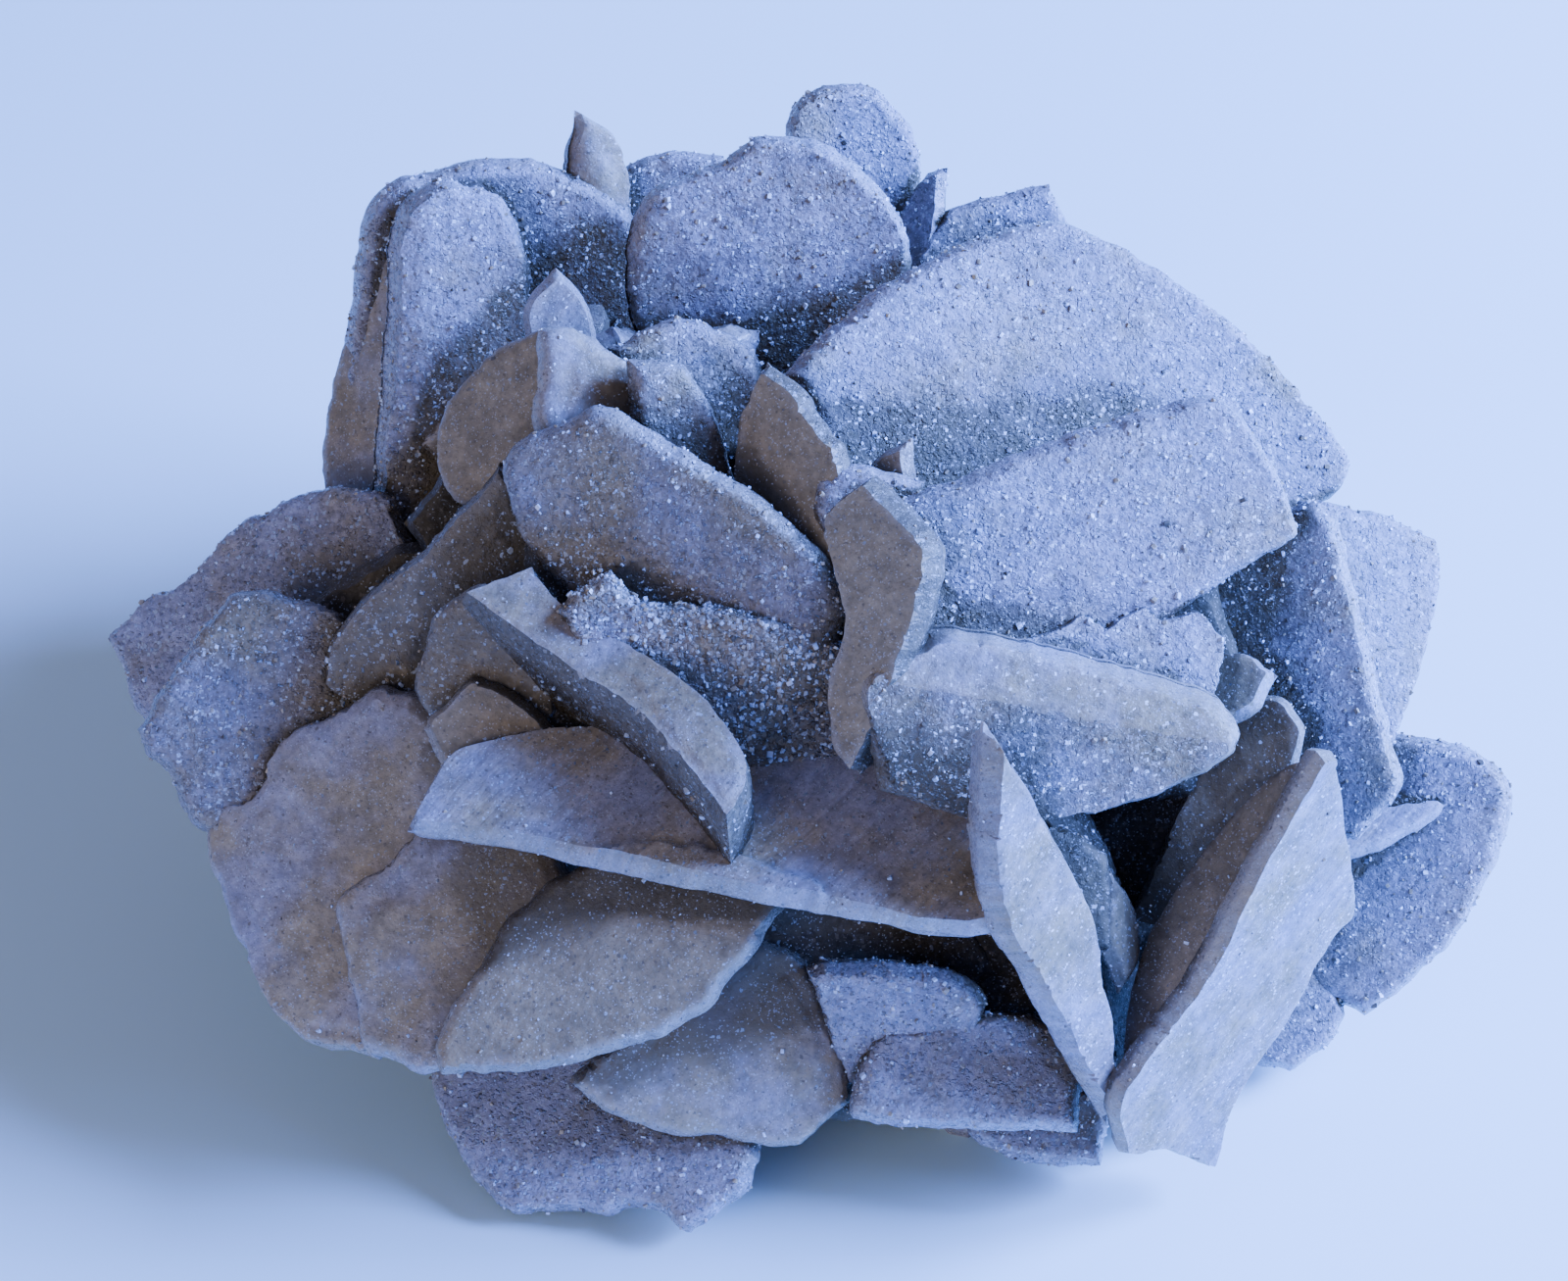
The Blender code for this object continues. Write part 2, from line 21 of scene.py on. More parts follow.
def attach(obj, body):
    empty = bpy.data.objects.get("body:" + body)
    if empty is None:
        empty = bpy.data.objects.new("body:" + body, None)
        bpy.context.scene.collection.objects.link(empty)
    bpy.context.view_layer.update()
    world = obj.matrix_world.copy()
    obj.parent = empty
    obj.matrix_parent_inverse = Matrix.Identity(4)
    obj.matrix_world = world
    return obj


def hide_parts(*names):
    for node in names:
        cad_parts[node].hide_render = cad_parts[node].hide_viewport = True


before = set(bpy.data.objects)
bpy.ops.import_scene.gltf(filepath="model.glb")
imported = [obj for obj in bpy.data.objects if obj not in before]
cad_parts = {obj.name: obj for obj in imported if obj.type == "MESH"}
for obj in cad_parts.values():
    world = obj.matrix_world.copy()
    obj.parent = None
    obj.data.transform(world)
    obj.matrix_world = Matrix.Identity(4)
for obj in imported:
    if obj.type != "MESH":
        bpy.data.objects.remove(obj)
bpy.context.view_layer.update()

bl_info = {
    "name": "Desert rose",
    "version": (1, 0, 0),
    "blender": (4, 5, 0),
    "location": "3D View > Sidebar > Desert rose",
    "description": "Builds a desert rose of sandy gypsum blades, with its sand and its stage",
    "category": "Add Mesh",
}

SOLID = "desert_rose"
MM = 0.001

# The dome that the middles of the blades lie on, in millimetres
DOME = Vector((63.0, 50.0, 52.0))
DOME_MIDDLE = Vector((0.0, 0.0, 18.0))

# The solid middle: its share of the dome, its lumps' sizes and heights in millimetres, how finely
# it is divided, and its distance from a rim in metres, which keeps the pale rim colour off it
HEART_SHARE = 0.66
HEART_LUMPS = ((9.0, 1.6), (4.0, 0.8))
HEART_LUMP_SEED = 51
HEART_DEPTH = 0.01
HEART_ROUNDNESS = 6

# The viewpoint that the outlines are drawn from, and what sets the rose over the origin
EYE_RISE = math.radians(40.0)
EYE_DISTANCE = 450.0
AIM = Vector((-2.0, 0.0, 30.0))
SETTLE = Vector((-0.3, -1.7, 0.0))
RIGHT = Vector((1.0, 0.0, 0.0))
UP = Vector((0.0, math.sin(EYE_RISE), math.cos(EYE_RISE)))
TO_EYE = Vector((0.0, -math.cos(EYE_RISE), math.sin(EYE_RISE)))
EYE = AIM + TO_EYE * EYE_DISTANCE

# A blade's usual thickness and bevel, how finely its outline is drawn, and half its rim's height,
# in millimetres; blades past BAND_FROM have a flat band round the rim, and wear and facets leave
# at least LEAST_HALF and FACET_LEAST of the thickness
THICK = 4.0
EDGE = 1.25
RIM_STEP = 0.55
RIM_HALF = 0.15
BAND_FROM = 4.5
LEAST_HALF = 0.05
FACET_LEAST = 0.6

# Bevels wider than ROUND_FROM are rounded, and only their rims count as a side; faces that are
# flatter than SIDE_UNDER on average have the blade's main finish, and the others its side finish
ROUND_FROM = 1.0
SIDE_UNDER = 0.8
ON_RIM = 0.01
CORNER_TURN = math.radians(56)
SHARP_FROM = math.radians(36)

# How points are spread over a face, as shares of their spacing: rows, random shifts, and the gaps
# that are left along the rim and along the bevel's foot; points nearer than MERGE millimetres are
# one, and distances to the rim are found for CHUNK points at a time
ROW_SHARE = 0.87
POINT_STRAY = 0.22
RIM_GAP = 0.55
BEVEL_GAP = 0.4
BEVEL_KEEP = 0.85
MERGE = 0.02
CHUNK = 4096

# Random wavering: how far it goes in millimetres, how long its waves are, and its own seed; a
# blade's two sides waver as if each were SIDES_APART millimetres from its middle
Waver = namedtuple("Waver", "far size seed")
TEETH = Waver(0.17, 0.9, 0)
SCALLOPS = Waver(0.3, 2.3, 1)
CHIPS = Waver(1.2, 5.0, 2)
CHIP_FROM = 0.25
BEVEL_SPREAD = Waver(0.55, 7.0, 3)
ROLL = Waver(0.1, 8.0, 4)
ROLL_BY_WEAR = 0.16
DENTS = Waver(0.05, 2.6, 5)
DENTS_BY_WEAR = 0.05
GRAIN_SIZE = 0.6
GRAIN_SEED = 6
LEDGE_WAVER = Waver(0.5, 2.0, 7)
DIRT_AND_SHADE_WAVER = Waver(1.2, 3.0, 8)
STEP_WAVER = Waver(1.6, 8.0, 20)
SIDES_APART = 40
SEEDS_A_BLADE = 10

# Growth steps and ledges: where the first one is, how far apart they are, and how high and wide
STEP_FIRST = 2.2
STEP_APART = 3.2
STEP_HEIGHT = 0.2
STEP_WIDTH = 0.3

# Dirt with painted shadow that is drawn on a blade, and dust with painted shade that gathers in the
# gaps, in millimetres and metres
DIRT_AND_SHADE_FADE = 5.0
DIRT_AND_SHADE_SHARE = 0.42
DUST_AND_SHADE_START = 0.001
DUST_AND_SHADE_REACH = 0.02
DUST_AND_SHADE_TILT = 0.55
DUST_AND_SHADE_RAYS = [Vector((x, y, z)) * DUST_AND_SHADE_TILT for x in (-1, 1) for y in (-1, 1) for z in (-1, 1)]

# Stuck-on sand: grains in one mesh, more of them along rims that face up and in patches, how open
# a spot has to be, in metres, and how much the grains differ
GRAINS_A_PIECE = 9000
SQUARE_MM_A_SQUARE_METRE = 1e6
CRUST_WIDTH = 0.0012
CRUST_RISE = 0.2
CRUST_SHARE = 1.8
PATCH_SIZE = 0.005
PATCH_FAR = 1.6
PATCH_RANGE = (0.15, 2.6)
PATCH_SEED = 31
OPEN_START = 0.0003
OPEN_REACH = 0.003
GRAIN_STRETCH = (0.45, 1.35)
GRAIN_RISE = 0.05
GRAIN_SPREAD = 0.45
GRAIN_RANGE = (0.4, 2.4)
SAND_SEED = 11

# The camera's sensor width, and how wide it sees at the aim, in millimetres
SENSOR = 36
FRAME_WIDTH = 160

Blade = namedtuple("Blade", "name turn tip lift thick edge finish side wear facets ledges dirt piece rim")


def blade(
        name, turn, tip, lift, rim, finish="sugared", side="", thick=THICK, edge=EDGE, wear=0.5,
        facets=(), ledges=(), dirt=(), piece=""):
    """A blade whose face is turned right and tipped up, in degrees, and lifted in millimetres.

    Facets are sloped cuts past a line, ledges are raised areas with a height, and dirt with painted
    shadow is drawn as areas. Blades with the same piece name become one mesh.
    """
    return Blade(
        name, math.radians(turn), math.radians(tip), lift, thick, edge, finish, side or finish, wear,
        facets, ledges, dirt, piece or name.replace(" ", "_"), rim)


# Front steps and the leaves below them
LOWER_BLADES = [
    blade("long step", 0, 30, -0.5, [
        (-38.6, -18.6), (-36.5, -14.5), (-34, -10.8), (-29, -9.5), (-20, -8), (-8, -8),
        (6, -9), (18, -12), (24, -18), (24, -26), (20, -29.2), (9.7, -27.9), (-2, -25.9),
        (-19.3, -22.4), (-27.2, -20.5)], thick=3.5, edge=0.8, finish="pale", wear=0.2,
        ledges=[([(-20.5, -21.6), (-15, -20.2), (-9, -20.9), (-2, -23), (4, -25), (4, -28),
                  (-9, -26)], 0.5)]),
    blade("leaning slab", -2, 32, 2.6, [
        (-33.1, 5.2), (-25.6, 8.2), (-22.4, 4.4), (-16, 0.4), (-10, -3.4), (-6.2, -7.4),
        (-3.6, -11.5), (-3.6, -15), (-5.8, -18.3), (-11.6, -11.2), (-15.6, -7.2),
        (-22.4, -2.7), (-28, 1.4)], thick=12, edge=0.45, finish="fine", side="dark", wear=0.4),
    blade("lower lens", -5, 8, 5, [
        (-35.8, -41), (-35.2, -44.1), (-24.2, -43.6), (-16, -41.4), (-9.4, -38.6),
        (-4.6, -33.4), (0.2, -26.7), (-3, -22), (-14, -20), (-26, -26), (-32.8, -35)],
        finish="brown", wear=0.6,
        dirt=[[(-14, -18), (1, -22), (1, -27), (-8, -27), (-18, -28.5), (-27, -32), (-32, -34),
               (-28, -24)]]),
    blade("left under plate", -10, 5, 5, [
        (-38.2, -18.9), (-41.7, -23.4), (-45.5, -25.8), (-46.3, -28.2), (-44.8, -35.4),
        (-43.1, -41.6), (-40, -43.3), (-35.5, -44), (-25, -40), (-20, -25), (-28, -16)],
        finish="fine", wear=1.0,
        dirt=[[(-27, -15), (-20, -22), (-24, -32), (-30, -30), (-34, -23)]]),
    blade("lower left plate", -15, 5, 3.5, [
        (-59.8, -21.3), (-57.2, -16.1), (-54.4, -14.4), (-52.4, -10.6), (-47.5, -7.9),
        (-41.7, -4.8), (-36, -6.2), (-30, -12), (-34, -30), (-42, -42.7), (-50.3, -40.2),
        (-54.4, -35.1), (-57.5, -26.5)], finish="fine", wear=1.3),
    blade("bottom left plate", -12, 10, 4, [
        (-36.5, -44.3), (-33.2, -52.7), (-29, -57.9), (-24.2, -58.2), (-13.9, -58.9),
        (-10, -60.3), (-3.6, -54.4), (-4, -45), (-15, -38), (-28, -36), (-35, -39)], wear=1.2),
    blade("bottom middle plate", 6, 0, 0, [
        (-21.8, -45), (-16, -40), (-6, -31), (2.3, -33), (6.5, -43), (6.8, -47.2),
        (0.9, -51.7), (-7, -50.7), (-11.1, -50.7), (-18.4, -48.1)], finish="fine",
        dirt=[[(-6, -29), (4, -31), (6, -36), (1, -40), (-7, -42), (-17, -45), (-22, -44)]]),
    blade("small dark blade", 0, -24, -3, [
        (2.5, -34.5), (4.9, -34), (11.8, -34), (18.7, -35.5), (20.7, -37.6), (18, -46),
        (6, -46)], thick=4),
    blade("gap plate", 5, -5, -11, [
        (-6, -24), (16, -24), (22, -33), (18, -40), (5, -40), (-4.5, -34)], finish="deep"),
    blade("front round plate", 0, 10, 2, [
        (6.6, -46.9), (7.6, -43.1), (9.7, -40), (13.5, -39.1), (24.9, -37.6), (31, -41),
        (30, -50), (15.9, -49.6), (8, -48.9)]),
    blade("front foot", 0, 10, 0, [
        (18.7, -48.2), (19.3, -50.7), (25.5, -53.2), (32.4, -53.4), (34, -46), (22, -42)],
        piece="front_round_plate"),
]

# The fin and the big slab that make a V at the right front
FRONT_RIGHT_BLADES = [
    blade("front fin", 35, -18, 10, [
        (21.9, -9.1), (24.4, -12.6), (29.8, -22.8), (32.8, -29.7), (34.2, -40), (34.4, -50.5),
        (26.5, -37), (22.1, -29), (21.4, -20)], thick=5, edge=0.8, finish="pale", wear=0.35),
    blade("front slab", 45, -28, 12, [
        (55.2, -11.9), (56.9, -11.8), (57.6, -18.5), (58.6, -27.4), (55.9, -30.9),
        (51.8, -38.8), (46.6, -46.7), (44.2, -54.3), (39.7, -52.5), (34.9, -53), (34.5, -46.7),
        (41.8, -36.4), (48.7, -23.3)], thick=2.5, edge=0.4, finish="pale", side="brown", wear=0.5),
    blade("front slab back", -40, 15, 7.4, [
        (54.8, -11.9), (51, -12.5), (46, -17), (39, -26), (35, -36), (34, -46.4),
        (41.4, -36.4), (48.3, -23.3)], edge=0.4, finish="brown", wear=0.3),
    blade("behind fin", 10, 0, 0, [
        (27, -18), (32.3, -20.8), (33.9, -23.6), (34, -32), (28, -32), (24, -22)],
        thick=10, finish="rough", piece="inner_wall"),
    blade("fin root", -25, -10, -2, [
        (23, -16), (26.5, -20), (31, -32), (33, -43), (27, -38), (22, -29)],
        thick=14, finish="deep", piece="inner_wall"),
    blade("small leaf", 40, 0, 2, [
        (34.2, -23.5), (36.2, -26.5), (37.1, -32), (35, -36), (33, -30)],
        thick=2.5, edge=0.8, finish="fine", piece="inner_wall"),
    blade("shadow plate", -18, -10, -13, [
        (24, -14), (42, -12), (46, -24), (38, -38), (28, -32)],
        thick=6, finish="deep", piece="inner_wall"),
    blade("dark inner blade", -18, -5, -4, [
        (45, -6), (49.2, -5.6), (51.7, -7.2), (52.5, -11.8), (47, -24), (38, -36), (34, -30),
        (40, -17)], thick=3, edge=0.6, finish="brown"),
    blade("inner wall", 15, -20, -2, [
        (30, -30), (44, -28), (46, -44), (40, -51), (30, -49)], finish="deep"),
]

# The middle of the rose
MIDDLE_BLADES = [
    blade("sandy centre", 5, -2, -2.5, [
        (-23.2, 2.8), (-21.1, 4.8), (-17.7, 7.2), (-13.4, 3.8), (-6.1, 3.6), (1.2, 1.8),
        (8, -2), (9, -12), (3, -16), (-6, -15), (-16, -7)], thick=5, finish="coarse"),
    blade("centre leaf", -14, -12, -1, [
        (-29.2, 15), (-28, 19.5), (-22, 22.7), (-18.7, 23.5), (-12.1, 19.7), (-3.8, 14.7),
        (3.2, 8.7), (7, 3), (2, -4), (-8, -4), (-18, 1), (-25, 7)], finish="dull"),
    blade("standing blade", -35, -5, 8, [
        (8, 16.6), (11.1, 13.4), (14.1, 10.4), (14.8, 7.7), (13.6, 2.1), (10, -7.8),
        (6.6, -13.9), (4.3, -10.1), (4.3, -4.1), (5.7, 2), (3.4, 11), (4.5, 14.3)],
        edge=0.6, finish="brown", side="dark"),
    blade("brown blade", -30, -5, 0, [
        (-2.5, 28.5), (0.6, 26.2), (3.1, 22.1), (5.8, 18.2), (6, 8), (0, 4), (-5, 12),
        (-5.6, 20)], thick=3, edge=0.5, finish="brown", side="dark"),
    blade("small arc", 5, -10, 1, [
        (3.1, 14), (4.5, 16.7), (6.8, 17.7), (11.1, 17.4), (14.4, 15.9), (15, 9), (5, 8)],
        thick=3, piece="brown_blade"),
    blade("tan shard", -30, 0, 0, [
        (8.4, 18), (12.4, 20.8), (12.8, 15), (8, 13)],
        thick=2.5, edge=0.6, finish="fine", piece="brown_blade"),
    blade("right centre slab", 10, -8, 6.5, [
        (11, 13), (20.2, 17.1), (28.3, 20.3), (34.4, 22.4), (43, 24.6), (46.7, 23.2),
        (50, 18.7), (52.8, 11.8), (52, 9.7), (44.7, 5.2), (38.1, 1), (26, -4),
        (12, -6), (8, 5)], thick=5),
    blade("right lens", 5, -12, 8.5, [
        (9, -3.5), (14, -0.1), (16.3, 0.6), (27.7, -1.7), (39.5, -4.9), (44.5, -6.6),
        (46.8, -9.4), (46.6, -11.3), (45.4, -12.8), (37.4, -16.7), (27.3, -18.8),
        (19.3, -18.8), (10, -15.8), (8, -7)],
        thick=8, edge=0.8, finish="dull", side="fine", facets=[(46.5, -10.6, 9, -3.8, 0.3)],
        dirt=[[(8, -9), (14, -10.5), (20, -13), (22, -20), (8, -18)]]),
    blade("small tan blade", -12, 12, 2.4, [
        (34.6, -3.6), (38.5, -2.1), (46, -0.8), (50.2, -3.2), (49, -5.2), (46.5, -8),
        (38, -12)], thick=4, edge=0.5, finish="brown", side="fine"),
    blade("jagged piece", 8, 8, 3.4, [
        (20, 2), (25, 0.6), (30.5, 3.2), (33, 1.6), (37, 4.2), (38.6, 2.6), (42.6, 3.4),
        (45.6, 0.6), (44, -6), (36, -8), (26, -6)],
        thick=3, edge=0.5, piece="small_tan_blade"),
    blade("left of slab", -10, -15, -2, [
        (-30, 5), (-35.2, 3), (-36.9, -0.8), (-37.9, -5.3), (-34, -10), (-24, -10), (-22, 0)],
        thick=3, finish="rough"),
    blade("little ledges", -5, 5, -1, [
        (-37.2, -8.9), (-33.4, -4.8), (-31.4, -3.7), (-27.2, -5.5), (-22, -10), (-35, -13)],
        thick=3, edge=0.8, finish="brown", piece="left_of_slab"),
]

# The tall blades along the top and the back
UPPER_BLADES = [
    blade("big upper slab", 16, 1, -1.5, [
        (0.8, 27.3), (5, 31.8), (12, 37.3), (20.6, 41.5), (26.3, 43), (30.4, 42.6),
        (38.5, 38.3), (48.7, 30.5), (54.9, 23.2), (58.7, 18.5), (56.9, 15), (50, 11),
        (32, 5), (15, 9), (5, 18)], thick=5,
        dirt=[[(2, 22), (8, 22.5), (14, 23.5), (20, 24.5), (26, 25), (34, 25.5), (39, 25.5),
               (40, 20), (30, 12), (12, 8), (3, 13)]]),
    blade("slab behind", 10, -15, -6, [
        (13, 38), (15.1, 41.5), (18.1, 44), (27.4, 46.4), (31, 38), (20, 30)],
        thick=3, piece="back_round_blade"),
    blade("top round blade", 2, -12, -0.5, [
        (-12, 46.5), (-7, 48.4), (-2.5, 51), (4.4, 50.3), (10.3, 45.5), (13, 38.3),
        (9, 29), (0, 20), (-7, 24), (-14.9, 30.5), (-16.1, 38.6), (-15, 43.8)],
        thick=5, facets=[(-12, 44.5, -0.5, 27, 0.16)],
        dirt=[[(-9, 30), (-4, 32.5), (2, 34.5), (7, 36), (14, 40), (14, 30), (4, 18), (-8, 22)]]),
    blade("back round blade", 12, -12, -8, [
        (0.5, 51.4), (2.7, 55.5), (7.9, 56.7), (12.4, 53.8), (14.3, 50), (14, 38), (11, 21),
        (2, 21), (0, 38)]),
    blade("thin shard", -30, 0, -6, [
        (16.1, 48.3), (14.1, 47.9), (11.3, 43.8), (11, 38), (15, 36)],
        thick=2.5, edge=0.8, piece="back_round_blade"),
    blade("little upright", 25, -10, 2.5, [
        (-20.6, 53.8), (-17.6, 52.1), (-15.5, 48), (-15, 35), (-20, 30), (-21.5, 45)],
        thick=3.5, edge=0.8, finish="fine", facets=[(-20.2, 53.8, -18.6, 40, 0.7)],
        piece="low_arch"),
    blade("low arch", 0, -15, -2, [
        (-17.6, 47), (-15.8, 48.2), (-12.1, 49.5), (-6.2, 49.1), (-3, 28), (-14, 26)]),
    blade("left back slab", 12, -14, 0, [
        (-41.5, 45), (-35, 47.8), (-28, 49), (-20, 47.3), (-14, 41), (-13, 27), (-28, 14),
        (-41, 10), (-44.5, 22), (-44, 35)], thick=5,
        dirt=[[(-21, 42), (-14, 41), (-12, 26), (-26, 24), (-27, 36)]]),
    blade("left upright leaf", 14, -9, 2.5, [
        (-39.5, 42.3), (-36, 46.3), (-32, 46.3), (-28, 44.3), (-25.5, 37), (-27, 24),
        (-36.5, 10), (-41.8, 4.4), (-41.2, 19.3), (-40, 33)], facets=[(-36.3, 46, -38.3, 8, 0.3)],
        thick=6, edge=0.9,
        dirt=[[(-33, 31), (-29, 35), (-25, 38), (-25, 22), (-35, 8), (-42, 2), (-39, 18)]]),
    blade("left side blade", -35, 0, -5, [
        (-43, 39), (-46, 30), (-47.9, 17), (-45, 8), (-40, 8), (-39, 25), (-40, 40)],
        finish="fine", piece="left_back_slab"),
    blade("pale triangle", 10, -10, 0, [
        (-23.1, 37.9), (-26.2, 34.1), (-25.8, 28), (-18.5, 28), (-19.9, 34.1)],
        thick=3, edge=0.8, finish="pale", piece="small_slab"),
    blade("roof left", -32, 4, 1, [
        (-33.5, 26.4), (-30.1, 30), (-25, 32.3), (-22.5, 31), (-21, 22), (-26, 11),
        (-34, 14), (-36, 21)], finish="brown"),
    blade("roof right", 12, 4, 0, [
        (-25, 32.3), (-21.2, 32.1), (-16.1, 29), (-12.3, 25.2), (-8, 18.8), (-10, 10),
        (-20, 10), (-25, 22)], finish="fine", piece="roof_left"),
    blade("blade behind leaf", 15, -5, -2, [
        (-16, 29), (-10.4, 28.4), (-6.2, 22.2), (-4.9, 17), (-2, 8), (-14, 12)],
        finish="dull", piece="small_slab"),
    blade("small slab", 5, 5, -3, [
        (-17.8, 30.1), (-12.1, 32.9), (-7.3, 32.5), (-2.5, 28.9), (0, 18), (-14, 20)]),
]

# The outer plates at the two sides
SIDE_BLADES = [
    blade("outer left plate", -16, 9, -2, [
        (-69.9, 0.5), (-65.1, 5.1), (-61.3, 6.5), (-54.8, 13.4), (-47.9, 16.3), (-40, 15),
        (-36, 4), (-46, -8), (-60, -12), (-66, -8.6), (-68.2, -3.1)], wear=1.1),
    blade("left front plate", 4, 4, 5, [
        (-66, -9), (-61, -0.7), (-56.5, 4.6), (-51.3, 5.5), (-45.1, 2.9), (-38, -4),
        (-44, -14), (-55, -20), (-59.6, -19.1), (-63.7, -13.8)],
        finish="dull", thick=6, wear=1.1),
    blade("diagonal dark blade", -4, -16, -5, [
        (-29.4, 17.6), (-36, 9.9), (-42.6, 4.4), (-46.5, 0), (-47, -5), (-39, -8), (-26, -2),
        (-23, 12)], facets=[(-28, 16.2, -43.4, 1, 0.5)], thick=5, edge=0.4, finish="rough"),
    blade("tall right blade", -12, -12, 0, [
        (52.5, 13.7), (56.3, 12.9), (58.8, 1.5), (62.2, -11.5), (62.6, -15.7), (58.4, -20.8),
        (48, -18), (42, -6), (44, 8)],
        dirt=[[(43, 10), (50, 13), (53, 14), (51.5, 6), (48, 1), (44, -4), (40, 0)]]),
    blade("pale right blade", 24, 0, 6, [
        (54, 14.3), (60.2, 13.5), (67.1, 10.6), (67.5, 5.3), (65.5, -2.6), (62.6, -12),
        (54, -12), (48, 4)], thick=5),
    blade("far right blade", -8, -2, 14, [
        (60, -10.3), (65.5, -10), (70, -11), (72.8, -13), (74.2, -16), (73.6, -20.5),
        (70.5, -27.5), (65.5, -33.8), (59.2, -38.4), (52, -34), (50, -18)], thick=5),
    blade("far right ledge", 0, 30, 6, [
        (58, -17.5), (63, -16.3), (67.9, -16.1), (64.4, -19), (59, -21.6), (55, -22.5)],
        thick=2.5, edge=0.4, finish="pale", piece="far_right_blade"),
    blade("right root", 15, 0, -2, [
        (42, -12), (55, -14), (57.5, -22), (56, -29), (51, -36), (42, -34)],
        thick=12, piece="far_right_blade"),
    blade("lower right leaf", 5, 5, -2, [
        (54, -26), (57.3, -35.6), (56.6, -40.4), (52.1, -44), (45, -41), (42, -28)], thick=5),
]

# Blades deep inside, seen only in the gaps, where the outer ones are rooted
INNER_BLADES = [
    blade("inner middle", 0, 0, -9, [
        (-27, 10), (-8, 14), (10, 12), (17, -4), (12, -16), (-8, -18), (-26, -10)],
        thick=12, finish="deep", piece="inner_blades"),
    blade("inner top", 0, 0, -17, [
        (-26, 27), (-12, 26), (2, 20), (10, 14), (12, 6), (-14, 6), (-32, 4), (-39, 12)],
        thick=14, finish="deep", piece="inner_blades"),
    blade("inner right", 0, 0, -11, [
        (10, 9), (26, 11), (44, 8), (47, -5), (42, -16), (16, -18), (8, -4)],
        thick=12, finish="deep", piece="inner_blades"),
    blade("inner low", 0, 0, -12, [
        (-16, -18), (4, -22), (24, -18), (30, -32), (26, -48), (4, -49), (-14, -42)],
        thick=12, finish="deep", piece="inner_blades"),
    blade("inner left", -10, 0, -15, [
        (-44, 8), (-28, 12), (-20, -4), (-18, -30), (-32, -38), (-46, -26), (-52, -4)],
        thick=12, finish="deep", piece="inner_blades"),
    blade("inner foot", 10, -10, -10, [
        (26, -20), (44, -22), (48, -36), (42, -48), (30, -50), (24, -36)],
        thick=10, finish="deep", piece="inner_blades"),
]


# Each row of petals round the back, from low to high: rises and turns in degrees, sizes in millimetres
BackRow = namedtuple("BackRow", "rise first last count half_width half_height lean reach")
BACK_ROWS = [
    BackRow(-12, 8, 172, 8, 19, 15, 14, 0.9),
    BackRow(14, 20, 143, 7, 18, 15, 22, 0.87),
    BackRow(36, 36, 134, 5, 15, 14, 30, 0.86),
    BackRow(56, 30, 150, 4, 15, 12, 36, 0.8),
    BackRow(-22, 186, 250, 4, 15, 12, 8, 0.72),
    BackRow(-22, 300, 352, 3, 15, 12, 8, 0.72),
]
BACK_SEED = 7
BACK_CORNERS = 8
BACK_WEAR = 0.7
BACK_COARSER = 1.3
BACK_FINISHES = ("sugared", "fine", "sugared", "brown", "pale", "fine")

# How far a petal strays from its row in degrees, in its reach and its corners' as shares, and how
# thick it is in millimetres
RISE_STRAY = 4
TURN_ASIDE = (15, 62)
LEAN_STRAY = 14
SLANT_STRAY = 35
REACH_STRAY = 0.04
CORNER_REACH = (0.86, 1.12)
PETAL_THICK = (3.2, 4.6)

# How each finish roughens a blade: rise and fall of single grains in millimetres, growth steps a
# side, stuck-on grains a square millimetre, and how large those are against the usual grain
Relief = namedtuple("Relief", "grain steps sand across")
RELIEFS = {
    "coarse": Relief(0.12, 0, 1.9, 0.95),
    "sugared": Relief(0.08, 0, 0.45, 0.82),
    "dull": Relief(0.08, 0, 0.35, 0.82),
    "rough": Relief(0.1, 0, 0.16, 0.85),
    "dark": Relief(0.1, 0, 0.16, 0.85),
    "fine": Relief(0.03, 1, 0.06, 0.7),
    "brown": Relief(0.035, 0, 0.04, 0.75),
    "pale": Relief(0.025, 0, 0.08, 0.6),
    "deep": Relief(0.05, 0, 0.04, 0.8),
}

Body = namedtuple("Body", "name piece finish side wear thick edge facets ledges dirt normal rim")


def dome_point(origin, direction):
    """Where a sight line first meets the dome, or its nearest approach where it misses."""
    start = Vector(a / b for a, b in zip(origin - DOME_MIDDLE, DOME))
    run = Vector(a / b for a, b in zip(direction, DOME))
    half_b = start.dot(run) / run.dot(run)
    c = (start.dot(start) - 1.0) / run.dot(run)
    inside = max(0.0, half_b * half_b - c)
    return origin + direction * (-half_b - math.sqrt(inside))


def sight(u, v):
    """The direction of the sight line through (u, v)."""
    return AIM + RIGHT * u + UP * v - EYE


def blade_plane(row):
    """The middle point and the outward normal of a drawn blade's plane."""
    middle_u = sum(u for u, v in row.rim) / len(row.rim)
    middle_v = sum(v for u, v in row.rim) / len(row.rim)
    normal = (
        RIGHT * math.sin(row.turn) * math.cos(row.tip)
        + UP * math.sin(row.tip)
        + TO_EYE * math.cos(row.turn) * math.cos(row.tip))
    middle = dome_point(EYE, sight(middle_u, middle_v)) + TO_EYE * row.lift
    return middle, normal


def carried(u, v, plane):
    """The point of a blade's plane that is seen at (u, v)."""
    middle, normal = plane
    line = sight(u, v)
    return EYE + line * ((middle - EYE).dot(normal) / line.dot(normal))


def is_corner(before, point, after):
    """Whether an outline turns sharply at a point."""
    return (point - before).angle(after - point, 0.0) > CORNER_TURN


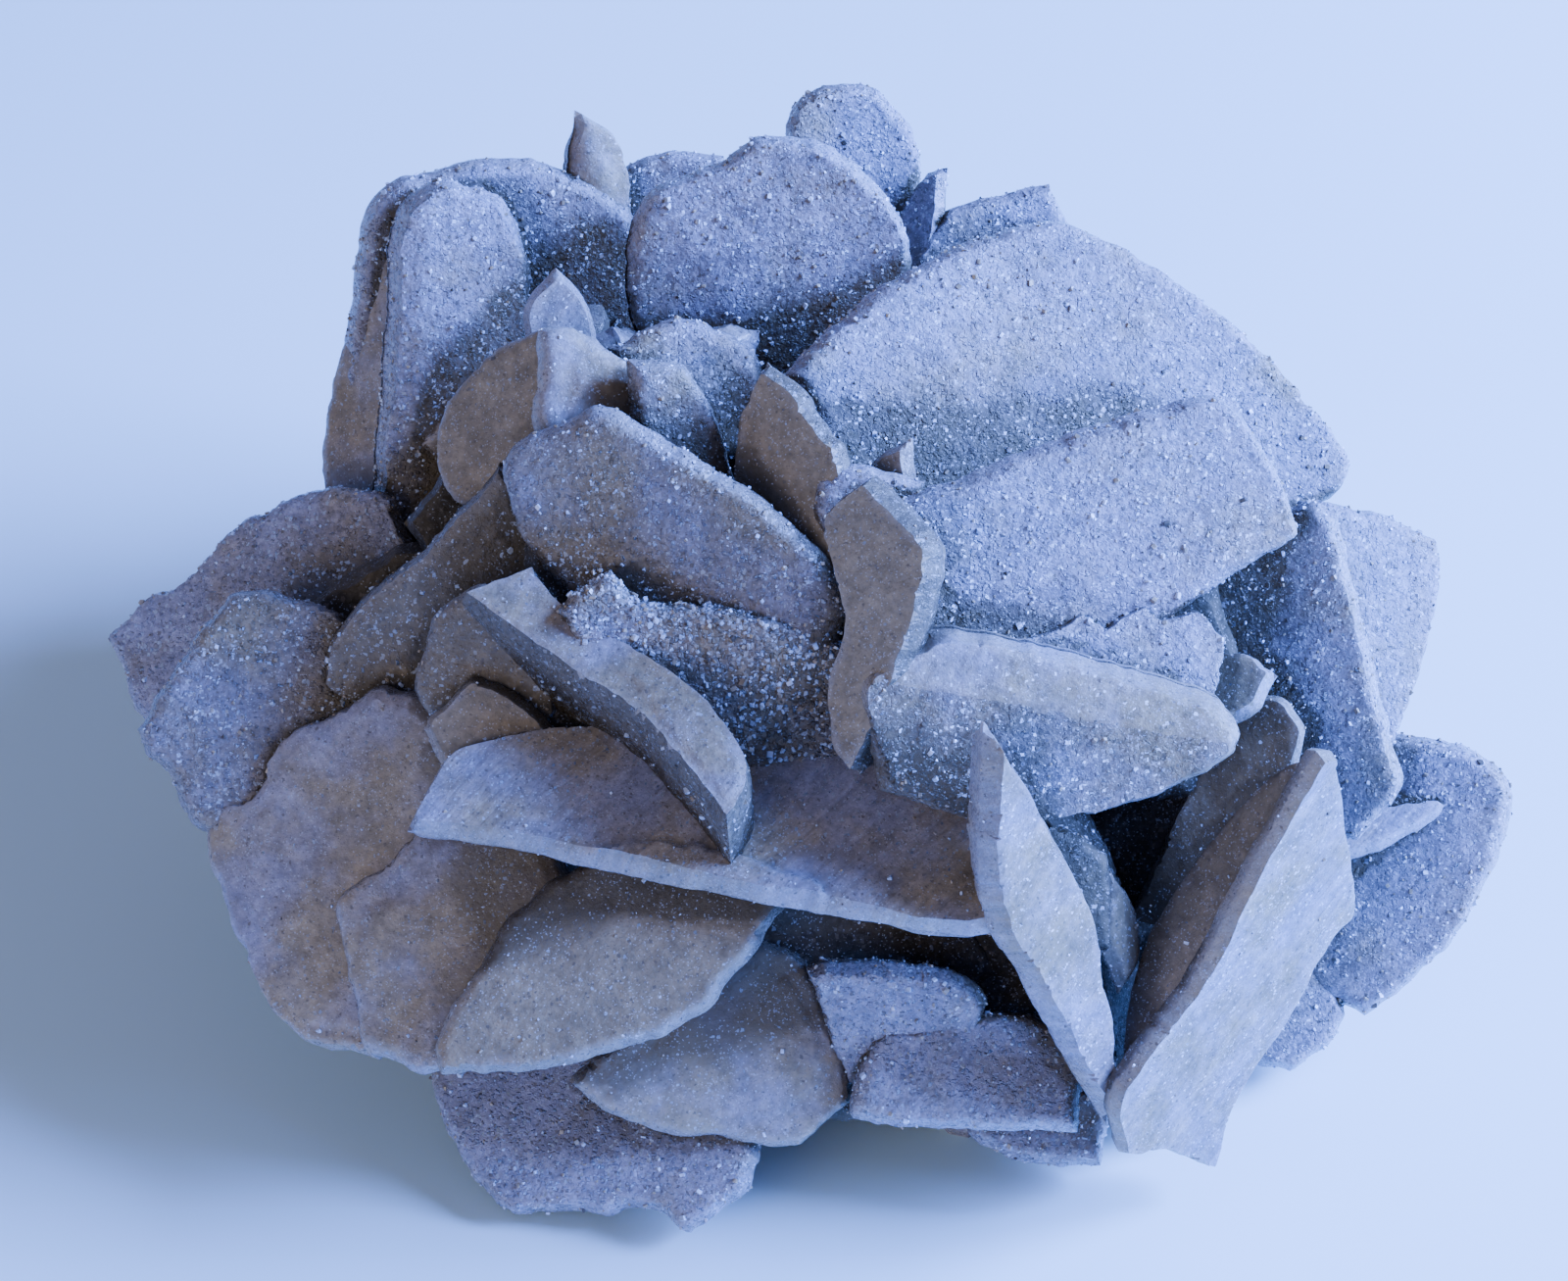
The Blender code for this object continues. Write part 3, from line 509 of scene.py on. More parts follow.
def smooth_outline(points, step):
    """Points along a closed curve through the given ones, about a step apart, with sharp corners kept."""
    found = []
    count = len(points)
    for i in range(count):
        before, start, end, after = (points[(i + k) % count] for k in (-1, 0, 1, 2))
        if is_corner(before, start, end):
            before = start * 2 - end
        if is_corner(start, end, after):
            after = end * 2 - start
        pieces = max(1, round((end - start).length / step))
        for k in range(pieces):
            t = k / pieces
            found.append(
                0.5 * (2 * start + (end - before) * t
                       + (2 * before - 5 * start + 4 * end - after) * t * t
                       + (3 * start - before - 3 * end + after) * t ** 3))
    return found


def drawn_bodies(rows):
    """The drawn blades' outlines in the middle of their thickness, in millimetres."""
    found = []
    for row in rows:
        plane = blade_plane(row)
        normal = plane[1]
        outline = smooth_outline([Vector((u, v, 0.0)) for u, v in row.rim], RIM_STEP)
        rim = [carried(p.x, p.y, plane) - normal * (row.thick / 2) for p in outline]
        facets = []
        for u1, v1, u2, v2, slope in row.facets:
            start = carried(u1, v1, plane)
            along = (carried(u2, v2, plane) - start).normalized()
            facets.append((start, along.cross(normal), slope))
        ledges = [([carried(*p, plane) for p in shape], height) for shape, height in row.ledges]
        dirt = [[carried(*p, plane) for p in shape] for shape in row.dirt]
        found.append(Body(
            row.name, row.piece, row.finish, row.side, row.wear, row.thick, row.edge, facets,
            ledges, dirt, normal, rim))
    return found


def pointing(turn, rise):
    """The unit direction that is turned round the upright and raised, in radians."""
    return Vector((
        math.cos(turn) * math.cos(rise), math.sin(turn) * math.cos(rise), math.sin(rise)))


def back_bodies():
    """Outlines and planes of the blades round the back, spread in rows by rule."""
    rng = random.Random(BACK_SEED)
    found = []
    for level, row in enumerate(BACK_ROWS):
        for k in range(row.count):
            share = k / (row.count - 1)
            angle = math.radians(row.first + (row.last - row.first) * share)
            rise = math.radians(row.rise + rng.uniform(-RISE_STRAY, RISE_STRAY))
            reach = row.reach + rng.uniform(-REACH_STRAY, REACH_STRAY)
            middle = DOME_MIDDLE + pointing(angle, rise) * DOME * reach
            side_turn = angle + math.radians(rng.choice((-1, 1)) * rng.uniform(*TURN_ASIDE))
            lean = math.radians(row.lean + rng.uniform(-LEAN_STRAY, LEAN_STRAY))
            normal = pointing(side_turn, lean)
            across = normal.cross(Vector((0, 0, 1))).normalized()
            upward = across.cross(normal).normalized()
            slant = math.radians(rng.uniform(-SLANT_STRAY, SLANT_STRAY))
            rim = []
            for j in range(BACK_CORNERS):
                turn = math.tau * j / BACK_CORNERS
                reach = rng.uniform(*CORNER_REACH)
                x = math.cos(turn) * row.half_width * reach
                y = math.sin(turn) * row.half_height * reach
                rim.append(
                    middle
                    + across * (x * math.cos(slant) - y * math.sin(slant))
                    + upward * (x * math.sin(slant) + y * math.cos(slant)))
            thick = rng.uniform(*PETAL_THICK)
            finish = BACK_FINISHES[len(found) % len(BACK_FINISHES)]
            found.append(Body(
                f"back blade {len(found)}", f"back_blades_{level}_{k // 2}", finish, finish,
                BACK_WEAR, thick, EDGE, (), (), (), normal, smooth_outline(rim, RIM_STEP)))
    return found


def lattice_noise(points, size, seed):
    """Smooth random values from -1 to 1 at points, on a lattice of the given size."""
    scaled = points / size
    cell = np.floor(scaled).astype(np.int64)
    share = scaled - cell
    share = share * share * (3 - 2 * share)
    total = np.zeros(len(points))
    for corner in np.ndindex(2, 2, 2):
        at = cell + corner
        # Large odd factors and shifts scramble each corner's own number to a value from -1 to 1
        key = at[:, 0] * 73856093 ^ at[:, 1] * 19349663 ^ at[:, 2] * 83492791 ^ (seed * 2971215)
        key = (key ^ (key >> 13)) * 1274126177
        value = ((key ^ (key >> 16)) & 0xFFFF) / 32767.5 - 1
        weight = np.prod(np.where(corner, share, 1 - share), axis=1)
        total += weight * value
    return total


def wavering(where, waver, seed):
    """How far a wavering goes at each point."""
    return waver.far * lattice_noise(where, waver.size, seed + waver.seed)


def in_space(flat, height=0.0):
    """Flat points as rows of three numbers, at one height or at their own."""
    return np.column_stack((flat, np.zeros(len(flat)) + height))


def rim_frame(body):
    """The middle of a blade and its two in-plane directions, in millimetres."""
    middle = sum(body.rim, Vector()) / len(body.rim)
    across = body.normal.orthogonal().normalized()
    return middle, across, body.normal.cross(across)


def rim_distance(flat, outline):
    """How far in from an outline each flat point is, negative outside."""
    run = np.roll(outline, -1, axis=0) - outline
    length = np.maximum((run * run).sum(1), 1e-12)
    found = np.empty(len(flat))
    for first in range(0, len(flat), CHUNK):
        part = flat[first:first + CHUNK]
        gap = part[:, None, :] - outline[None, :, :]
        share = np.clip((gap * run).sum(2) / length, 0, 1)
        near = gap - share[:, :, None] * run
        distance = np.sqrt((near * near).sum(2).min(1))
        above = gap[:, :, 1] >= 0
        crossing = above != np.roll(above, -1, axis=1)
        side = gap[:, :, 0] * run[:, 1] < gap[:, :, 1] * run[:, 0]
        inside = (crossing & (side == (run[:, 1] > 0))).sum(1) % 2 == 1
        found[first:first + CHUNK] = np.where(inside, distance, -distance)
    return found


def outward(outline):
    """The direction out of a flat outline at each of its points."""
    ahead = np.roll(outline, -1, axis=0) - np.roll(outline, 1, axis=0)
    out = np.column_stack((ahead[:, 1], -ahead[:, 0]))
    out /= np.maximum(np.linalg.norm(out, axis=1), 1e-9)[:, None]
    x, y = outline.T
    return -out if (x * np.roll(y, -1) - np.roll(x, -1) * y).sum() < 0 else out


def ragged_outline(body, seed):
    """A blade's outline on its own plane, broken into small teeth and scallops."""
    middle, across, upward = rim_frame(body)
    outline = np.array([((p - middle).dot(across), (p - middle).dot(upward)) for p in body.rim])
    where = in_space(outline)
    teeth = wavering(where, TEETH, seed)
    scallops = wavering(where, SCALLOPS, seed)
    chipped = np.maximum(0, lattice_noise(where, CHIPS.size, seed + CHIPS.seed) - CHIP_FROM)
    scallops -= chipped * CHIPS.far
    broken = teeth * min(1.0, 2 * body.wear) + scallops * body.wear
    return outline + outward(outline) * broken[:, None]


def bevel_width(flat, body, seed):
    """How wide the bevel along the rim is near each flat point, in millimetres."""
    return body.edge * (1 + wavering(in_space(flat), BEVEL_SPREAD, seed))


def put_in_order(bm):
    """Sorts the points and faces by where they are, so that each run gives the same mesh."""
    for items, place in (
            (bm.verts, lambda v: v.co[:]), (bm.faces, lambda f: sorted(v.co[:] for v in f.verts))):
        rank = {item: number for number, item in enumerate(sorted(items, key=place))}
        items.sort(key=rank.get)


def plate(body, outline, spacing, seed):
    """A closed flat plate with points evenly over its faces, a row along its bevel and its rim."""
    rng = np.random.default_rng(seed)
    low, high = outline.min(0), outline.max(0)
    row_gap = spacing * ROW_SHARE
    grid = np.mgrid[low[0]:high[0]:spacing, low[1]:high[1]:row_gap].reshape(2, -1).T
    rows = np.round((grid[:, 1] - low[1]) / row_gap).astype(int)
    grid[:, 0] += spacing / 2 * (rows % 2)
    grid += rng.uniform(-POINT_STRAY, POINT_STRAY, grid.shape) * spacing
    inward = rim_distance(grid, outline)
    off_bevel = np.abs(inward - bevel_width(grid, body, seed))
    grid = grid[(inward > spacing * RIM_GAP) & (off_bevel > spacing * BEVEL_GAP)]

    width = bevel_width(outline, body, seed)
    ridge = outline - outward(outline) * width[:, None]
    ridge = ridge[rim_distance(ridge, outline) > width * BEVEL_KEEP]

    count = len(outline)
    points = [Vector(p) for p in np.concatenate((outline, grid, ridge))]
    edges = [(i, (i + 1) % count) for i in range(count)]
    flat, _, faces = delaunay_2d_cdt(points, edges, [], 1, MERGE)[:3]
    bm = bmesh.new()
    verts = [bm.verts.new((p.x, p.y, -1.0)) for p in flat]
    for face in faces:
        bm.faces.new([verts[i] for i in face])
    bmesh.ops.delete(bm, geom=[v for v in bm.verts if not v.link_faces], context="VERTS")
    raised = bmesh.ops.extrude_face_region(bm, geom=bm.faces[:], use_keep_orig=True)["geom"]
    bmesh.ops.translate(
        bm, vec=(0, 0, 2), verts=[g for g in raised if isinstance(g, bmesh.types.BMVert)])
    band = max(0.0, body.thick - BAND_FROM)
    if band > spacing:
        walls = [e for e in bm.edges if abs(e.verts[0].co.z - e.verts[1].co.z) > 1]
        bmesh.ops.subdivide_edges(bm, edges=walls, cuts=round(band / spacing))
        for vert in bm.verts:
            vert.co.z = round(vert.co.z, 4)
    bmesh.ops.recalc_face_normals(bm, faces=bm.faces)
    put_in_order(bm)
    return bm


def shaped_blade(body, spacing, seed):
    """The mesh of one blade with its bevels, growth steps, gentle roll, grain, and drawn dirt and painted
    shadow.

    The plate's heights are -1 and 1 on its two sides, and are stretched to half the thickness.
    """
    middle, across, upward = rim_frame(body)
    axes = np.array([across, upward, body.normal])

    def flattened(shape):
        return np.array([axes[:2] @ np.array(p - middle) for p in shape])

    outline = ragged_outline(body, seed)
    bm = plate(body, outline, spacing, seed)
    mesh = bpy.data.meshes.new(body.name)
    bm.to_mesh(mesh)
    bm.free()
    local = vertex_array(mesh, "co")
    flat = local[:, :2]
    side = local[:, 2]
    inward = np.maximum(rim_distance(flat, outline), 0.0)
    bevel = bevel_width(flat, body, seed)
    relief = RELIEFS[body.finish]
    rim_half = max(RIM_HALF, (body.thick - BAND_FROM) / 2)
    rise = np.clip(inward / bevel, 0, 1)
    if body.edge > ROUND_FROM:
        rise = np.sqrt(1 - (1 - rise) ** 2)
    half = rim_half + (body.thick / 2 - rim_half) * rise
    where = in_space(flat, side * SIDES_APART)
    for step in range(relief.steps):
        reach = STEP_FIRST + STEP_APART * step + wavering(where, STEP_WAVER, seed + step)
        half -= STEP_HEIGHT * (1 - np.clip((inward - reach) / STEP_WIDTH, 0, 1)) * rise
    roll = ROLL._replace(far=ROLL.far + ROLL_BY_WEAR * body.wear)
    dents = DENTS._replace(far=DENTS.far + DENTS_BY_WEAR * body.wear)
    half += wavering(where, roll, seed) * rise
    half += wavering(where, dents, seed)
    half += relief.grain * lattice_noise(where, GRAIN_SIZE, seed + GRAIN_SEED)
    for shape, height in body.ledges:
        within = rim_distance(flat, flattened(shape)) + wavering(where, LEDGE_WAVER, seed)
        half += np.where(side > 0, height * np.clip(within / STEP_WIDTH, 0, 1), 0.0) * rise
        inward = np.where((side > 0) & (within > 0), np.minimum(inward, within), inward)
    # The drawn areas darken the blade towards the dust colour: partly dirt, partly painted shadow where
    # neighbouring blades overhang it
    dirt = np.zeros(len(flat), np.float32)
    for shape in body.dirt:
        within = rim_distance(flat, flattened(shape)) + wavering(where, DIRT_AND_SHADE_WAVER, seed)
        dirt = np.maximum(dirt, DIRT_AND_SHADE_SHARE * np.clip(within / DIRT_AND_SHADE_FADE + 0.5, 0, 1) * (side > 0))
    local[:, 2] = side * np.maximum(half, LEAST_HALF)
    flatness = rise if body.edge <= ROUND_FROM else np.where(rise < ON_RIM, 0.0, 1.0)
    for start, away, slope in body.facets:
        past = (flat - flattened([start])) @ (axes[:2] @ np.array(away))
        lowered = local[:, 2] - np.maximum(past, 0) * slope
        least = np.minimum(local[:, 2], FACET_LEAST - body.thick / 2)
        local[:, 2] = np.where(side > 0, np.maximum(lowered, least), local[:, 2])
        flatness = np.where((past > 0) & (side > 0), 0.0, flatness)
    points = local @ axes + np.array(middle) + np.array(SETTLE)
    points[:, 2] = np.maximum(points[:, 2], 0.0)
    mesh.vertices.foreach_set("co", (points * MM).astype(np.float32).ravel())
    set_layer(mesh, "place", np.column_stack((flat, inward)) * MM)
    set_layer(mesh, "shelter", dirt)
    mesh.shade_smooth()
    mesh.set_sharp_from_angle(angle=SHARP_FROM)
    for face in mesh.polygons:
        if sum(flatness[i] for i in face.vertices) < SIDE_UNDER * len(face.vertices):
            face.material_index = 1
    mesh.update()
    return mesh


def set_layer(mesh, name, values):
    """Keeps a number or a vector for each of a mesh's points under a name."""
    kind, field = ("FLOAT", "value") if values.ndim == 1 else ("FLOAT_VECTOR", "vector")
    layer = mesh.attributes.get(name) or mesh.attributes.new(name, kind, "POINT")
    layer.data.foreach_set(field, values.astype(np.float32).ravel())


def vertex_array(mesh, layer):
    """The mesh's points or normals as rows of three numbers."""
    flat = np.zeros(len(mesh.vertices) * 3, np.float32)
    source = mesh.vertices if layer == "co" else mesh.vertex_normals
    source.foreach_get(layer, flat)
    return flat.reshape(-1, 3).astype(float)


def all_triangles(mesh):
    """The corners of each of a mesh's triangles, by number."""
    mesh.calc_loop_triangles()
    corners = np.zeros(len(mesh.loop_triangles) * 3, np.int32)
    mesh.loop_triangles.foreach_get("vertices", corners)
    return corners.reshape(-1, 3)


def blades_tree(pieces):
    """All the blades together, ready for rays."""
    points = []
    triangles = []
    count = 0
    for piece in pieces:
        points.append(vertex_array(piece.data, "co"))
        triangles.append(all_triangles(piece.data) + count)
        count += len(points[-1])
    return BVHTree.FromPolygons(
        np.concatenate(points).tolist(), np.concatenate(triangles).tolist(), all_triangles=True)


def gather_dust_and_shade(mesh, tree):
    """Adds to each point's drawn dirt and shadow how closed in it is, from 0 in the open to 1 deep in a gap.
    """
    points = vertex_array(mesh, "co")
    normals = vertex_array(mesh, "vector")
    found = np.zeros(len(points), np.float32)
    if "shelter" in mesh.attributes:
        mesh.attributes["shelter"].data.foreach_get("value", found)
    # How closed in a point is becomes dust and painted shade in its colour
    for i, (p, n) in enumerate(zip(points.tolist(), normals.tolist())):
        out = Vector(n)
        start = Vector(p) + out * DUST_AND_SHADE_START
        shut = 0.0
        for tilt in DUST_AND_SHADE_RAYS:
            hit = tree.ray_cast(start, out + tilt, DUST_AND_SHADE_REACH)
            if hit[0] is not None:
                shut += 1.0 - hit[3] / DUST_AND_SHADE_REACH
        found[i] += shut / len(DUST_AND_SHADE_RAYS)
    set_layer(mesh, "shelter", found)


def joined(parts, name):
    """One object from several, under one name."""
    first = parts[0]
    if len(parts) > 1:
        with bpy.context.temp_override(
                active_object=first, object=first, selected_objects=parts,
                selected_editable_objects=parts):
            bpy.ops.object.join()
    first.name = name
    first.data.name = name
    return first


def new_object(name, data, material=None):
    """An object in the scene for a mesh, a light or a camera."""
    if material:
        data.materials.append(material)
    made = bpy.data.objects.new(name, data)
    bpy.context.scene.collection.objects.link(made)
    return made


def settle_piece(piece):
    """Says what a finished piece rides on, and hides the imported solid that the pieces stand for."""
    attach(piece, "root")
    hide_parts(SOLID)


def grow(bodies, spacing, seed):
    """Makes, wears and places the pieces that the given blades belong to."""
    pieces = {}
    for number, body in enumerate(bodies):
        mesh = shaped_blade(body, spacing / MM, seed + SEEDS_A_BLADE * number)
        for key in (body.finish, body.side):
            mesh.materials.append(
                bpy.data.materials.get(FINISHES[key].name) or finish_material(key))
        pieces.setdefault(body.piece, []).append(new_object(body.name, mesh))
    for name, parts in pieces.items():
        settle_piece(joined(parts, name))


def swell_heart(bm):
    """Raises lumps all over the solid middle."""
    where = np.array([v.co for v in bm.verts]) / MM
    rise = sum(
        height * lattice_noise(where, size, HEART_LUMP_SEED) for size, height in HEART_LUMPS)
    for vert, up in zip(bm.verts, rise):
        vert.co += vert.co.normalized() * up * MM


def node(tree, kind, inputs=None, **settings):
    """A new shader node with its settings made and its inputs set or linked."""
    made = tree.nodes.new("ShaderNode" + kind)
    for key, value in settings.items():
        setattr(made, key, value)
    for key, value in (inputs or {}).items():
        if isinstance(value, bpy.types.NodeSocket):
            tree.links.new(value, made.inputs[key])
        else:
            made.inputs[key].default_value = value
    return made


def math_node(tree, operation, first, second=0.0, clamp=False):
    """The result of one sum."""
    return node(
        tree, "Math", {0: first, 1: second}, operation=operation, use_clamp=clamp).outputs[0]


def product(tree, first, second, clamp=False):
    """One value times another."""
    return math_node(tree, "MULTIPLY", first, second, clamp)


def vector_node(tree, operation, inputs):
    """The result of one sum with vectors."""
    return node(tree, "VectorMath", inputs, operation=operation).outputs[0]


def mixed(tree, share, first, second, blend="MIX"):
    """A colour between two, or one laid over the other."""
    return node(
        tree, "Mix", {"Factor": share, 6: first, 7: second}, data_type="RGBA",
        blend_type=blend).outputs[2]


def shaded(tree, colour, by):
    """A colour made darker or lighter by a value."""
    return mixed(tree, 1.0, colour, by, "MULTIPLY")


def ranged(tree, value, given, wanted, kind="LINEAR"):
    """A value carried from one range to another, and held at its ends."""
    return node(
        tree, "MapRange",
        {"Value": value, "From Min": given[0], "From Max": given[1], "To Min": wanted[0],
         "To Max": wanted[1]},
        interpolation_type=kind).outputs[0]


def eased(tree, value, low, high):
    """0 below low and 1 above high, with a soft step between; low may be the higher."""
    return ranged(tree, value, (low, high), (0.0, 1.0), "SMOOTHSTEP")


def noise(tree, where, scale, detail=2.0, roughness=0.5, distortion=0.0, output="Fac"):
    """Cloudy random values."""
    return node(
        tree, "TexNoise",
        {"Vector": where, "Scale": scale, "Detail": detail, "Roughness": roughness,
         "Distortion": distortion}).outputs[output]


# Grains in a shader, against their own size: how their cells are shaken, where a grain's edge and
# slope lie, and how patchy the light ones are
GRAIN_WOBBLE = 0.55
GRAIN_SHAKE = (1.6, 1.6, 1.6)
GRAIN_EDGE = (0.5, 0.36)
GRAIN_SLOPE = (0.6, 0.25)
LIGHT_PATCHES = (0.25, 1.75)

# The warm clouds' threshold and softness, how strongly patches and mottles show, how wide the pale
# rims are and how far they stray in metres, and how closed in a point is where dust and painted
# shade start and where they are full
WARM_FROM = 0.86
WARM_SOFT = 0.16
PATCH_TONES = (0.68, 1.32)
MOTTLE_TONES = (0.78, 1.22)
RIM_WIDTH = (0.0013, 0.0001)
RIM_STRAY = 0.0036
DUST_AND_SHADE_CLOSED = (0.04, 0.4)
DUST_AND_SHADE_EVEN = 0.45

# Growth lines: how they are turned on a blade's plane, and how fine they are along and across
LINES_TURN = (0.0, 0.0, 0.6)
LINES_SCALE = (150.0, 850.0, 0.0)


def stuck_sand(tree, given):
    """Packed angular grains: height, light ones (pale grains and painted glints), dark ones, and each one's
    turn.
    """
    across = math_node(tree, "DIVIDE", 1 / MM, given["Grain"])
    spread = vector_node(tree, "SCALE", {0: given["Vector"], "Scale": across})
    wobble = noise(tree, spread, scale=GRAIN_WOBBLE, output="Color")
    shaken = vector_node(tree, "MULTIPLY_ADD", {0: wobble, 1: GRAIN_SHAKE, 2: spread})
    cells = node(
        tree, "TexVoronoi", {"Vector": shaken, "Scale": 1.0, "Randomness": 0.9},
        voronoi_dimensions="3D", feature="F1", distance="CHEBYCHEV").outputs
    pick = node(tree, "SeparateColor", {0: cells["Color"]}).outputs
    near = eased(tree, cells["Distance"], *GRAIN_EDGE)
    bare = math_node(tree, "SUBTRACT", 1.0, given["Cover"])
    height = product(
        tree, eased(tree, cells["Distance"], *GRAIN_SLOPE),
        math_node(tree, "SUBTRACT", pick["Red"], bare, clamp=True))
    patches = ranged(
        tree, noise(tree, given["Vector"], scale=210.0), (0.32, 0.68), LIGHT_PATCHES)
    light_from = math_node(tree, "SUBTRACT", 1.0, product(tree, given["Light share"], patches))
    light = product(tree, math_node(tree, "GREATER_THAN", pick["Green"], light_from), near)
    dark = product(
        tree, math_node(tree, "LESS_THAN", pick["Green"], given["Dark share"]), near)
    turn = vector_node(tree, "SUBTRACT", {0: cells["Color"], 1: (0.5, 0.5, 0.5)})
    return {"Height": height, "Light": light, "Dark": dark, "Shade": pick["Blue"], "Turn": turn}


def clouded_gypsum(tree, given):
    """A blade's colour: warm and cool clouds, pale rims, and dust with painted shade in the gaps."""
    clouds = noise(tree, given["Vector"], scale=90.0, detail=4.0, roughness=0.6)
    patches = noise(tree, given["Vector"], scale=330.0, detail=4.0, roughness=0.65)
    mottles = noise(tree, given["Vector"], scale=1100.0, roughness=0.7)
    edge_from = math_node(tree, "SUBTRACT", WARM_FROM, given["Warm share"])
    warm = eased(tree, math_node(tree, "SUBTRACT", clouds, edge_from), -WARM_SOFT, WARM_SOFT)
    body = mixed(tree, warm, given["Cool"], given["Warm"])
    body = shaded(tree, body, ranged(tree, patches, (0.25, 0.75), PATCH_TONES))
    body = shaded(tree, body, ranged(tree, mottles, (0.3, 0.7), MOTTLE_TONES))

    inward = node(tree, "SeparateXYZ", {0: given["Place"]}).outputs["Z"]
    strayed = product(tree, math_node(tree, "SUBTRACT", patches, 0.5), RIM_STRAY)
    rim = eased(tree, math_node(tree, "ADD", inward, strayed), *RIM_WIDTH)
    body = mixed(tree, product(tree, rim, given["Rim amount"]), body, given["Rim"])
    # Closed-in points and drawn areas darken towards the dust colour: dust, and painted shade in the gaps
    gap = product(
        tree, eased(tree, given["Shelter"], *DUST_AND_SHADE_CLOSED),
        math_node(tree, "ADD", patches, DUST_AND_SHADE_EVEN),
        clamp=True)
    body = mixed(tree, product(tree, gap, given["Dust and shade amount"]), body, given["Dust"])
    return {"Color": body, "Rim": rim}


def growth_lines(tree, given):
    """Fine lines that run one way along a blade's face."""
    turned = node(
        tree, "Mapping",
        {"Vector": given["Place"], "Rotation": LINES_TURN, "Scale": LINES_SCALE})
    return {"Height": noise(tree, turned.outputs[0], scale=1.0, detail=4.0, distortion=0.7)}


# What each shared group takes, with its usual value, and what it gives
NUMBER = "NodeSocketFloat"
VECTOR = "NodeSocketVector"
COLOUR = "NodeSocketColor"
Group = namedtuple("Group", "build takes gives")
GROUPS = {
    "Stuck sand": Group(
        stuck_sand,
        (("Vector", VECTOR, None), ("Grain", NUMBER, 0.45), ("Cover", NUMBER, 0.5),
         ("Light share", NUMBER, 0.15), ("Dark share", NUMBER, 0.1)),
        (("Height", NUMBER), ("Light", NUMBER), ("Dark", NUMBER), ("Shade", NUMBER),
         ("Turn", VECTOR))),
    "Clouded gypsum": Group(
        clouded_gypsum,
        (("Vector", VECTOR, None), ("Place", VECTOR, None), ("Shelter", NUMBER, 0.0),
         ("Warm", COLOUR, (0.3, 0.25, 0.2, 1)), ("Cool", COLOUR, (0.4, 0.4, 0.42, 1)),
         ("Rim", COLOUR, (0.7, 0.7, 0.72, 1)), ("Dust", COLOUR, (0.12, 0.08, 0.05, 1)),
         ("Warm share", NUMBER, 0.5), ("Rim amount", NUMBER, 0.7), ("Dust and shade amount", NUMBER, 1.0)),
        (("Color", COLOUR), ("Rim", NUMBER))),
    "Growth lines": Group(growth_lines, (("Place", VECTOR, None),), (("Height", NUMBER),)),
}


def shared_group(name):
    """One of the shared groups, built when it is first asked for."""
    tree = bpy.data.node_groups.get(name)
    if tree:
        return tree
    tree = bpy.data.node_groups.new(name, "ShaderNodeTree")
    group = GROUPS[name]
    for label, kind, value in group.takes:
        socket = tree.interface.new_socket(label, in_out="INPUT", socket_type=kind)
        if value is not None:
            socket.default_value = value
    for label, kind in group.gives:
        tree.interface.new_socket(label, in_out="OUTPUT", socket_type=kind)
    given = tree.nodes.new("NodeGroupInput").outputs
    result = tree.nodes.new("NodeGroupOutput").inputs
    for label, value in group.build(tree, given).items():
        tree.links.new(value, result[label])
    return tree


def placed(tree, name, inputs):
    """A shared group in a material, with that material's own values."""
    return node(tree, "Group", inputs, node_tree=shared_group(name)).outputs


# What each finish sets on the shared groups and on its shader: how light and how brown it is and
# how pale its rims are; its grains' size in millimetres, how much they cover, and how many are
# light and dark; how light the light ones are, which are partly painted glints; growth lines, bumps
# and grit; how clear and rough the gypsum is; and how much dust and painted shade it takes. The
# dull and rough finishes are darkened a little and the dark and deep ones much more, as painted
# shade on blades that face away from the light and on those deep in the gaps
Finish = namedtuple(
    "Finish", "name tone warm_share rim grain cover light dark fleck lines bump grit clear rough dusty")
FINISHES = {
    "coarse": Finish(
        "Coarse sugary sand", 0.9, 0.42, 0.3, 0.42, 0.9, 0.2, 0.1, 0.9, 0.0, 1.2, 0.7, 0.0, 0.45, 0.8),
    "sugared": Finish(
        "Sugared gypsum", 1.0, 0.26, 0.3, 0.36, 0.55, 0.1, 0.06, 0.8, 0.0, 1.2, 0.75, 0.0, 0.5, 1.0),
    # Dull: a darker copy of the sugared finish, painted shade for blades that face away from the light
    "dull": Finish(
        "Shaded sugared gypsum", 0.74, 0.4, 0.5, 0.36, 0.55, 0.1, 0.07, 0.8, 0.0, 1.2, 0.75, 0.0, 0.5, 1.0),
    # Rough: darkened in part as painted shade, for blades that lie in the shadow of others
    "rough": Finish(
        "Rough brown gypsum", 0.6, 0.66, 0.25, 0.42, 0.35, 0.07, 0.07, 0.6, 0.0, 1.0, 0.9, 0.0, 0.6, 1.0),
    # Dark: a much darker copy of the rough finish, painted shade for sides that face away from the light
    "dark": Finish(
        "Shaded rough gypsum", 0.42, 0.7, 0.15, 0.42, 0.35, 0.07, 0.07, 0.5, 0.3, 1.0, 0.9, 0.0, 0.6, 1.0),
    "fine": Finish(
        "Fine sandy gypsum", 1.0, 0.42, 0.3, 0.3, 0.14, 0.04, 0.03, 0.5, 0.25, 0.8, 0.5, 0.15, 0.55, 0.8),
    "brown": Finish(
        "Brown dusty gypsum", 0.88, 0.82, 0.3, 0.3, 0.12, 0.02, 0.04, 0.4, 0.25, 0.8, 0.5, 0.0, 0.6, 1.0),
    "pale": Finish(
        "Pale striated gypsum", 0.92, 0.36, 0.3, 0.28, 0.14, 0.06, 0.03, 0.6, 0.9, 0.8, 0.4, 0.15, 0.5, 0.1),
    # Deep: nearly black, painted shade for blades deep in the gaps
    "deep": Finish(
        "Shaded brown gypsum", 0.24, 0.9, 0.0, 0.4, 0.3, 0.03, 0.1, 0.25, 0.0, 1.0, 0.6, 0.0, 0.8, 1.0),
}

